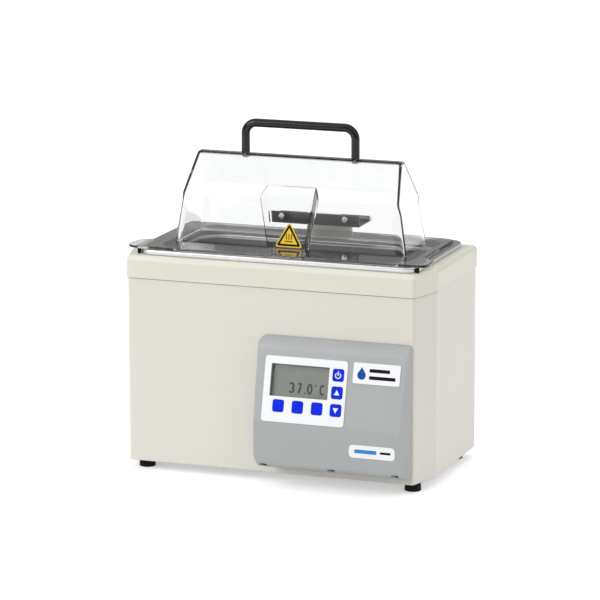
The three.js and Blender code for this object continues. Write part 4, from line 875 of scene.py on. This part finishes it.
def build_lid():
    low, edge = DOME_BASE[3], 0.8
    shell = combine(dome("lid_glazing", 0), recess_cut("cut", 0))
    sides = [(edge, low)] + [(edge - r, z) for r, z in arc((0, low + edge), edge, 300, 360, 3)]
    sides += [(edge - r, z) for r, z in arc((0, low + LID_WALL - edge), edge, 0, 90, 4)]
    combine(shell, loft("flange", stacked(flange_outline, sides)), "UNION")
    inside = combine(dome("cut", LID_WALL), recess_cut("cut_inner", LID_WALL))
    combine(shell, inside)
    x, y, half = LID_CENTRE[0], RECESS["bottom_y"] - RECESS_LIP["setback"], RECESS["bottom_half"]
    lip = box_piece("lip", x - half, x + half, y, y + LID_WALL, low - RECESS_LIP["drop"], low + 1)
    combine(shell, lip, "UNION")
    finished(shell, "clear_lid", "lid", "lid_shell", sharp=24)
    # The ridge and the recess's side walls get the clear finishes with painted edge-on shade.
    for finish in ("clear_bend", "clear_fold"):
        shell.data.materials.append(MATERIALS[finish])
    middle = at(LID_CENTRE[0], 0, DOME_RIDGE[3] - EDGE_SHADED["ridge"])
    for polygon in shell.data.polygons:
        turn = [abs(part) for part in polygon.normal]
        side_wall = min(turn[:2]) > EDGE_SHADED["turn"] > turn[2]
        if polygon.center.z > middle.z:
            polygon.material_index = 1
        elif side_wall and abs(polygon.center.x - middle.x) < EDGE_SHADED["half_width"] * MM:
            polygon.material_index = 2


def build_handle():
    """Bent round bar, coated black, with squared-off feet."""
    span, bend, top, radius = HANDLE["half_span"], HANDLE["bend"], HANDLE["bar_z"], HANDLE["radius"]
    foot_z = DOME_RIDGE[3] + GAP
    path = mirrored([(span, foot_z)] + arc((span - bend, top - bend), bend, 0, 90, 14))

    def ring(x, z, tangent, radius):
        across = Vector((tangent.y, -tangent.x))
        points = []
        for step in range(32):
            angle = 2 * pi * step / 32
            offset = across * radius * cos(angle)
            y = LID_CENTRE[1] + radius * sin(angle)
            points.append(at(LID_CENTRE[0] + x + offset.x, y, z + offset.y))
        return points

    def foot(x, way):
        """The end of the bar and the ring just above it."""
        tangent = Vector((0, way))
        return [ring(x, foot_z, tangent, radius - 0.5), ring(x, foot_z + 0.5, tangent, radius)]

    rings = []
    for before, (x, z), after in zip(path, path[1:], path[2:]):
        tangent = Vector((after[0] - before[0], after[1] - before[1])).normalized()
        rings.append(ring(x, z, tangent, radius))
    rings = foot(span, 1) + rings + foot(-span, -1)[::-1]
    finished(loft("handle_bar", rings), "handle_black", "lid", "lid_handle", sharp=40)


def triangle(side, corner, low_v):
    """Upright triangle with rounded corners; `side` is measured to its sharp corners."""
    height = side * sqrt(3) / 2
    centre_v = low_v + height / 3
    reach = height * 2 / 3 - 2 * corner
    points = []
    for heading in (90, 210, 330):
        x, v = reach * cos(radians(heading)), centre_v + reach * sin(radians(heading))
        points += arc((x, v), corner, heading - 60, heading + 60, 8)
    return points


def build_sticker():
    """Triangle with a border and plain strokes over a line in place of any pictogram."""
    side, low_v, high = STICKER["side"], STICKER["low_v"], GAP + STICKER["thickness"]
    ink, drop = (high - 0.02, high + 0.06), 2.6
    outline = triangle(side, STICKER["corner"], low_v)
    face = plate("sticker_film", on_recess, lambda inset: outline, GAP, high)
    finished(face, "sticker_film", "lid", "caution_sticker", sharp=50)
    outer = triangle(side - drop * 1.75, 1.5, low_v + drop * 0.52)
    inner = triangle(side - drop * 1.75 - 8.2, 0.5, low_v + drop * 0.52 + 2.36)
    lines = ((outer, ink[0]), (outer, ink[1]), (inner, ink[1]), (inner, ink[0]))
    finished(loft("sticker_border", drawn(on_recess, lines), closed=True), "dark_ink", "lid")
    stroke_v, base_v = low_v + 12, low_v + 6.8
    marks = (("left", -3, stroke_v, 1.1, 6.6), ("middle", 0, stroke_v, 1.1, 6.6),
             ("right", 3, stroke_v, 1.1, 6.6), ("base", 0, base_v, 9.6, 1.1))
    for name, x, v, width, height in marks:
        mark = plate(f"sticker_mark_{name}", on_recess, rectangle(x, v, width, height, 0.5), *ink)
        finished(mark, "dark_ink", "lid")


def build_bumpers():
    """Small rubber stops under the lid's ears."""
    low, high = CASE["top"] + GAP, DOME_BASE[3] - 0.05
    profile = [(1.3, low), (2.0, low + 0.6), (2.3, low + 2), (2.3, high - 0.6), (2.0, high)]
    for side, sign in (("left", -1), ("right", 1)):
        bumper = turned(f"lid_bumper_{side}", profile, (sign * BUMPER[0], BUMPER[1], 0))
        finished(bumper, "foot_rubber", "lid")


# ---- rear panel
def louvre_hood(x, z):
    """Pressed hood over a slot, open downwards."""
    half, rise, reach = LOUVRE["width"] / 2 + 1.5, LOUVRE["height"] + 3.2, 3.0
    columns, rows, width = 24, 8, 25
    vertices = []
    for push in (0.0, -0.8):
        for row in range(rows + 1):
            w = row / rows
            for column in range(width):
                u = 2 * column / columns - 1
                bulge = sqrt(max(1 - abs(u) ** 6, 0)) * cos(w * pi / 2) ** 0.7
                vertices.append(at(x + u * half, REAR_FACE + bulge * reach + push, z + 0.4 + w * rise))
    total = len(vertices) // 2
    faces = []
    for row in range(rows):
        for a in range(row * width, row * width + columns):
            quad = (a, a + 1, a + width + 1, a + width)
            faces += [quad, tuple(total + i for i in reversed(quad))]
    edge = list(range(width)) + [r * width + columns for r in range(1, rows + 1)]
    edge += [rows * width + c for c in range(columns - 1, -1, -1)]
    edge += [r * width for r in range(rows - 1, 0, -1)]
    for a, b in zip(edge, edge[1:] + edge[:1]):
        faces.append((b, a, total + a, total + b))
    return piece("hood", vertices, faces)


def build_rear_panel():
    near, low, high = REAR_FACE - SHEET, REAR_PANEL["z0"], REAR_PANEL["z1"]
    outline = rectangle(0, (low + high) / 2, 2 * REAR_PANEL["half_x"], high - low, REAR_PANEL["corner"], 8)
    profile = ((0.3, near), (0, near + 0.3), (0, REAR_FACE - 0.4), (0.12, REAR_FACE - 0.12), (0.4, REAR_FACE))
    panel = loft("rear_cover", [[at(x, y, z) for x, z in outline(inset)] for inset, y in profile])
    louvres = [(x, LOUVRE["low_z"] + row * LOUVRE["pitch"])
               for x in LOUVRE["columns"] for row in range(LOUVRE["rows"])]
    half_x, half_z = LOUVRE["width"] / 2, LOUVRE["height"] / 2
    openings = [(x, z + half_z, half_x, half_z) for x, z in louvres]
    openings += [(x, z, width / 2 - BEZEL_EDGE, height / 2 - BEZEL_EDGE) for x, z, width, height in FITTINGS]
    slots = [box_piece("cut", x - half_x, x + half_x, near - 9, near + 9, z - half_z, z + half_z)
             for x, z, half_x, half_z in openings]
    combine(panel, merged("cut", slots))
    combine(panel, merged("hoods", [louvre_hood(x, z) for x, z in louvres]), "UNION")
    finished(panel, "case_paint", "housing", "rear_panel", sharp=40)


# ---- screws
def rear_screw(node_name):
    """Domed head with a cross recess and a plain shank, in the CAD screw's box, facing the rear."""
    low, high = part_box(node_name)
    axis = Vector((0, 1, 0))
    place = ((low + high) / 2 - ORIGIN) / MM
    end = (high.y - low.y) / 2 / MM
    r, h, shank = SCREW["head"], SCREW["rise"], SCREW["shank"]
    profile = [(0.05, -end), (shank - 0.6, -end), (shank, 0.8 - end), (shank, end - h), (r - 0.3, end - h)]
    profile += ellipse((0, end - h + 0.3), (r, h - 0.3), 0, 90, 8)[:-1] + [(0.05, end)]
    made = turned(node_name + "_head", profile, place, axis=axis)
    turn = Vector((0, 0, 1)).rotation_difference(axis).to_matrix()
    for wide, tall in ((r * 0.62, SCREW["slot"]), (SCREW["slot"], r * 0.62)):
        rings = []
        for height, scale in ((end - h * 0.62, 0.55), (end + 1, 1.0)):
            corners = ((-wide, -tall), (wide, -tall), (wide, tall), (-wide, tall))
            rings.append([at(*(place + turn @ Vector((x * scale, y * scale, height)))) for x, y in corners])
        combine(made, loft("cut", rings))
    finished(made, "screw_zinc", "housing", node_name, sharp=40)


def build_screws():
    for place in ("rear_screw_low", "rear_screw_high", "hinge_stand_screw"):
        for side in ("left", "right"):
            rear_screw(f"{place}_{side}")


# ---- nodes kept from the CAD
KEPT = {
    "stainless": ["base_pan", "tank_probe"],
    "hinge_steel": ["hinge_leaf"],
    "hinge_stand": ["hinge_stand"],
    "insulation": ["tank_insulation"],
    "heater_silicone": ["heater_pad"],
    "dark_plastic": ["overtemp_cutout", "inlet_socket", "fuse_drawer", "switch_frame", "power_rocker"],
    "circuit_board": ["power_board", "control_board"],
    "core_steel": ["transformer_core"],
    "coil": ["transformer_coil"],
    "lead_red": ["heater_lead"],
    "lead_black": ["probe_lead", "mains_lead"],
    "screw_zinc": ["hinge_pin", "handle_screw_left", "handle_screw_right", "hinge_leaf_screw_left",
                   "hinge_leaf_screw_right", "foot_screw_front_left", "foot_screw_front_right",
                   "foot_screw_rear_left", "foot_screw_rear_right"],
    "dark_screw": ["fascia_screw_left", "fascia_screw_middle", "fascia_screw_right"],
}
UNBEVELLED = ("insulation", "lead_red", "lead_black", "coil")


def dress_kept_nodes():
    for finish, names in KEPT.items():
        for name in names:
            dressed(name, finish, 0 if finish in UNBEVELLED else 0.2)


# ---- studio
SKY = {
    "diffuse": (0.5, 1.05), "front_span": (0.25, 0.6), "front": (0.3, 1.1), "back_span": (0.35, 0.7),
    "back": (0.26, 0.9), "behind": (-0.2, 0.35), "plain": 1.0, "through": 0.93,
}
FLOOR = {"bounced": 0.6, "glow": 0.36, "glow_through": 0.2, "glow_bounced": 0.1}
CAMERA = {"azimuth": 20.308, "elevation": 12.218, "roll": -0.135, "distance": 4.1006, "lens": 214.15}
LOOK_AT = at(-2.304, 0, 191.3)


def build_camera():
    azimuth, elevation = radians(CAMERA["azimuth"]), radians(CAMERA["elevation"])
    back = Vector((sin(azimuth) * cos(elevation), -cos(azimuth) * cos(elevation), sin(elevation)))
    data = bpy.data.cameras.new("camera")
    data.lens = CAMERA["lens"]
    data.sensor_width = 36
    data.clip_end = 50
    camera = linked("camera", data)
    turn = back.to_track_quat("Z", "Y").to_matrix() @ Matrix.Rotation(radians(CAMERA["roll"]), 3, "Z")
    camera.matrix_world = Matrix.Translation(LOOK_AT + back * CAMERA["distance"]) @ turn.to_4x4()
    bpy.context.scene.camera = camera


def softbox(name, place, side, power):
    """Square area light, aimed at the middle of the bath."""
    data = bpy.data.lights.new(name, "AREA")
    data.shape = "RECTANGLE"
    data.size = data.size_y = side
    data.energy = power
    direction = Vector((0, 0, 0.2)) - Vector(place)
    turn = direction.to_track_quat("-Z", "Y").to_matrix().to_4x4()
    linked(name, data).matrix_world = Matrix.Translation(place) @ turn


def build_world():
    """White surround; what metal and gloss reflect is bright above, dim at the horizon and dark behind."""
    world = bpy.data.worlds.new("studio")
    world.use_nodes = True
    tree = world.node_tree
    tree.nodes.clear()
    heading = node(tree, "TexCoord").outputs["Generated"]
    parts = node(tree, "SeparateXYZ", {"Vector": heading})
    paths = node(tree, "LightPath")

    def ramp(value, start, end, low, high):
        inputs = {"Value": value, "From Min": start, "From Max": end, "To Min": low, "To Max": high}
        return node(tree, "MapRange", inputs).outputs["Result"]

    def pick(choice, otherwise, chosen):
        return node(tree, "Mix", {0: choice, 2: otherwise, 3: chosen}).outputs[0]

    diffuse = ramp(parts.outputs["Z"], 0.0, 0.8, *SKY["diffuse"])
    front = ramp(parts.outputs["Z"], *SKY["front_span"], *SKY["front"])
    back = ramp(parts.outputs["Z"], *SKY["back_span"], *SKY["back"])
    glossy = pick(ramp(parts.outputs["Y"], *SKY["behind"], 0, 1), front, back)
    seen = SKY["plain"]
    for depth, brightness in (("Transmission", SKY["through"]), ("Glossy", glossy), ("Diffuse", diffuse)):
        seen = pick(ramp(paths.outputs[depth + " Depth"], 0, 1, 0, 1), seen, brightness)
    light = node(tree, "Background", {"Color": grey(1), "Strength": seen}).outputs["Background"]
    node(tree, "OutputWorld", {"Surface": light})
    bpy.context.scene.world = world


def build_floor():
    reach = 12
    corners = [(x * reach, y * reach, 0) for x, y in ((-1, -1), (1, -1), (1, 1), (-1, 1))]
    floor = piece("floor", corners, [(0, 1, 2, 3)])
    s = Surface("floor", roughness=0.7, specular_ior_level=0, emission_color=grey(1))
    paths = node(s.tree, "LightPath").outputs
    bounce = paths["Is Diffuse Ray"]
    plain = s.blend(s.between(s.noise(3, 2), 0, 1), grey(0.86), grey(0.88))
    s.colour(s.blend(bounce, plain, grey(FLOOR["bounced"])))
    glow = s.between(paths["Transmission Depth"], FLOOR["glow"], FLOOR["glow_through"], 0, 1)
    s.set("Emission Strength", s.between(bounce, glow, FLOOR["glow_bounced"], 0, 1))
    floor.data.materials.append(s.material)


def build_studio():
    build_camera()
    build_world()
    build_floor()
    softbox("key_light", (-1.9, -2.4, 1.7), 1.6, 42)
    softbox("side_light", (2.6, 0.9, 1.0), 1.4, 10)
    settings = bpy.context.scene.view_settings
    settings.view_transform = "Standard"
    settings.look = "None"


for build in (
        build_case, build_cap, build_tank, build_tray, build_feet, build_fascia, build_keys, build_display,
        build_plates, build_lid, build_handle, build_sticker, build_bumpers, build_rear_panel, build_screws,
        dress_kept_nodes, build_studio):
    build()

bpy.context.view_layer.update()
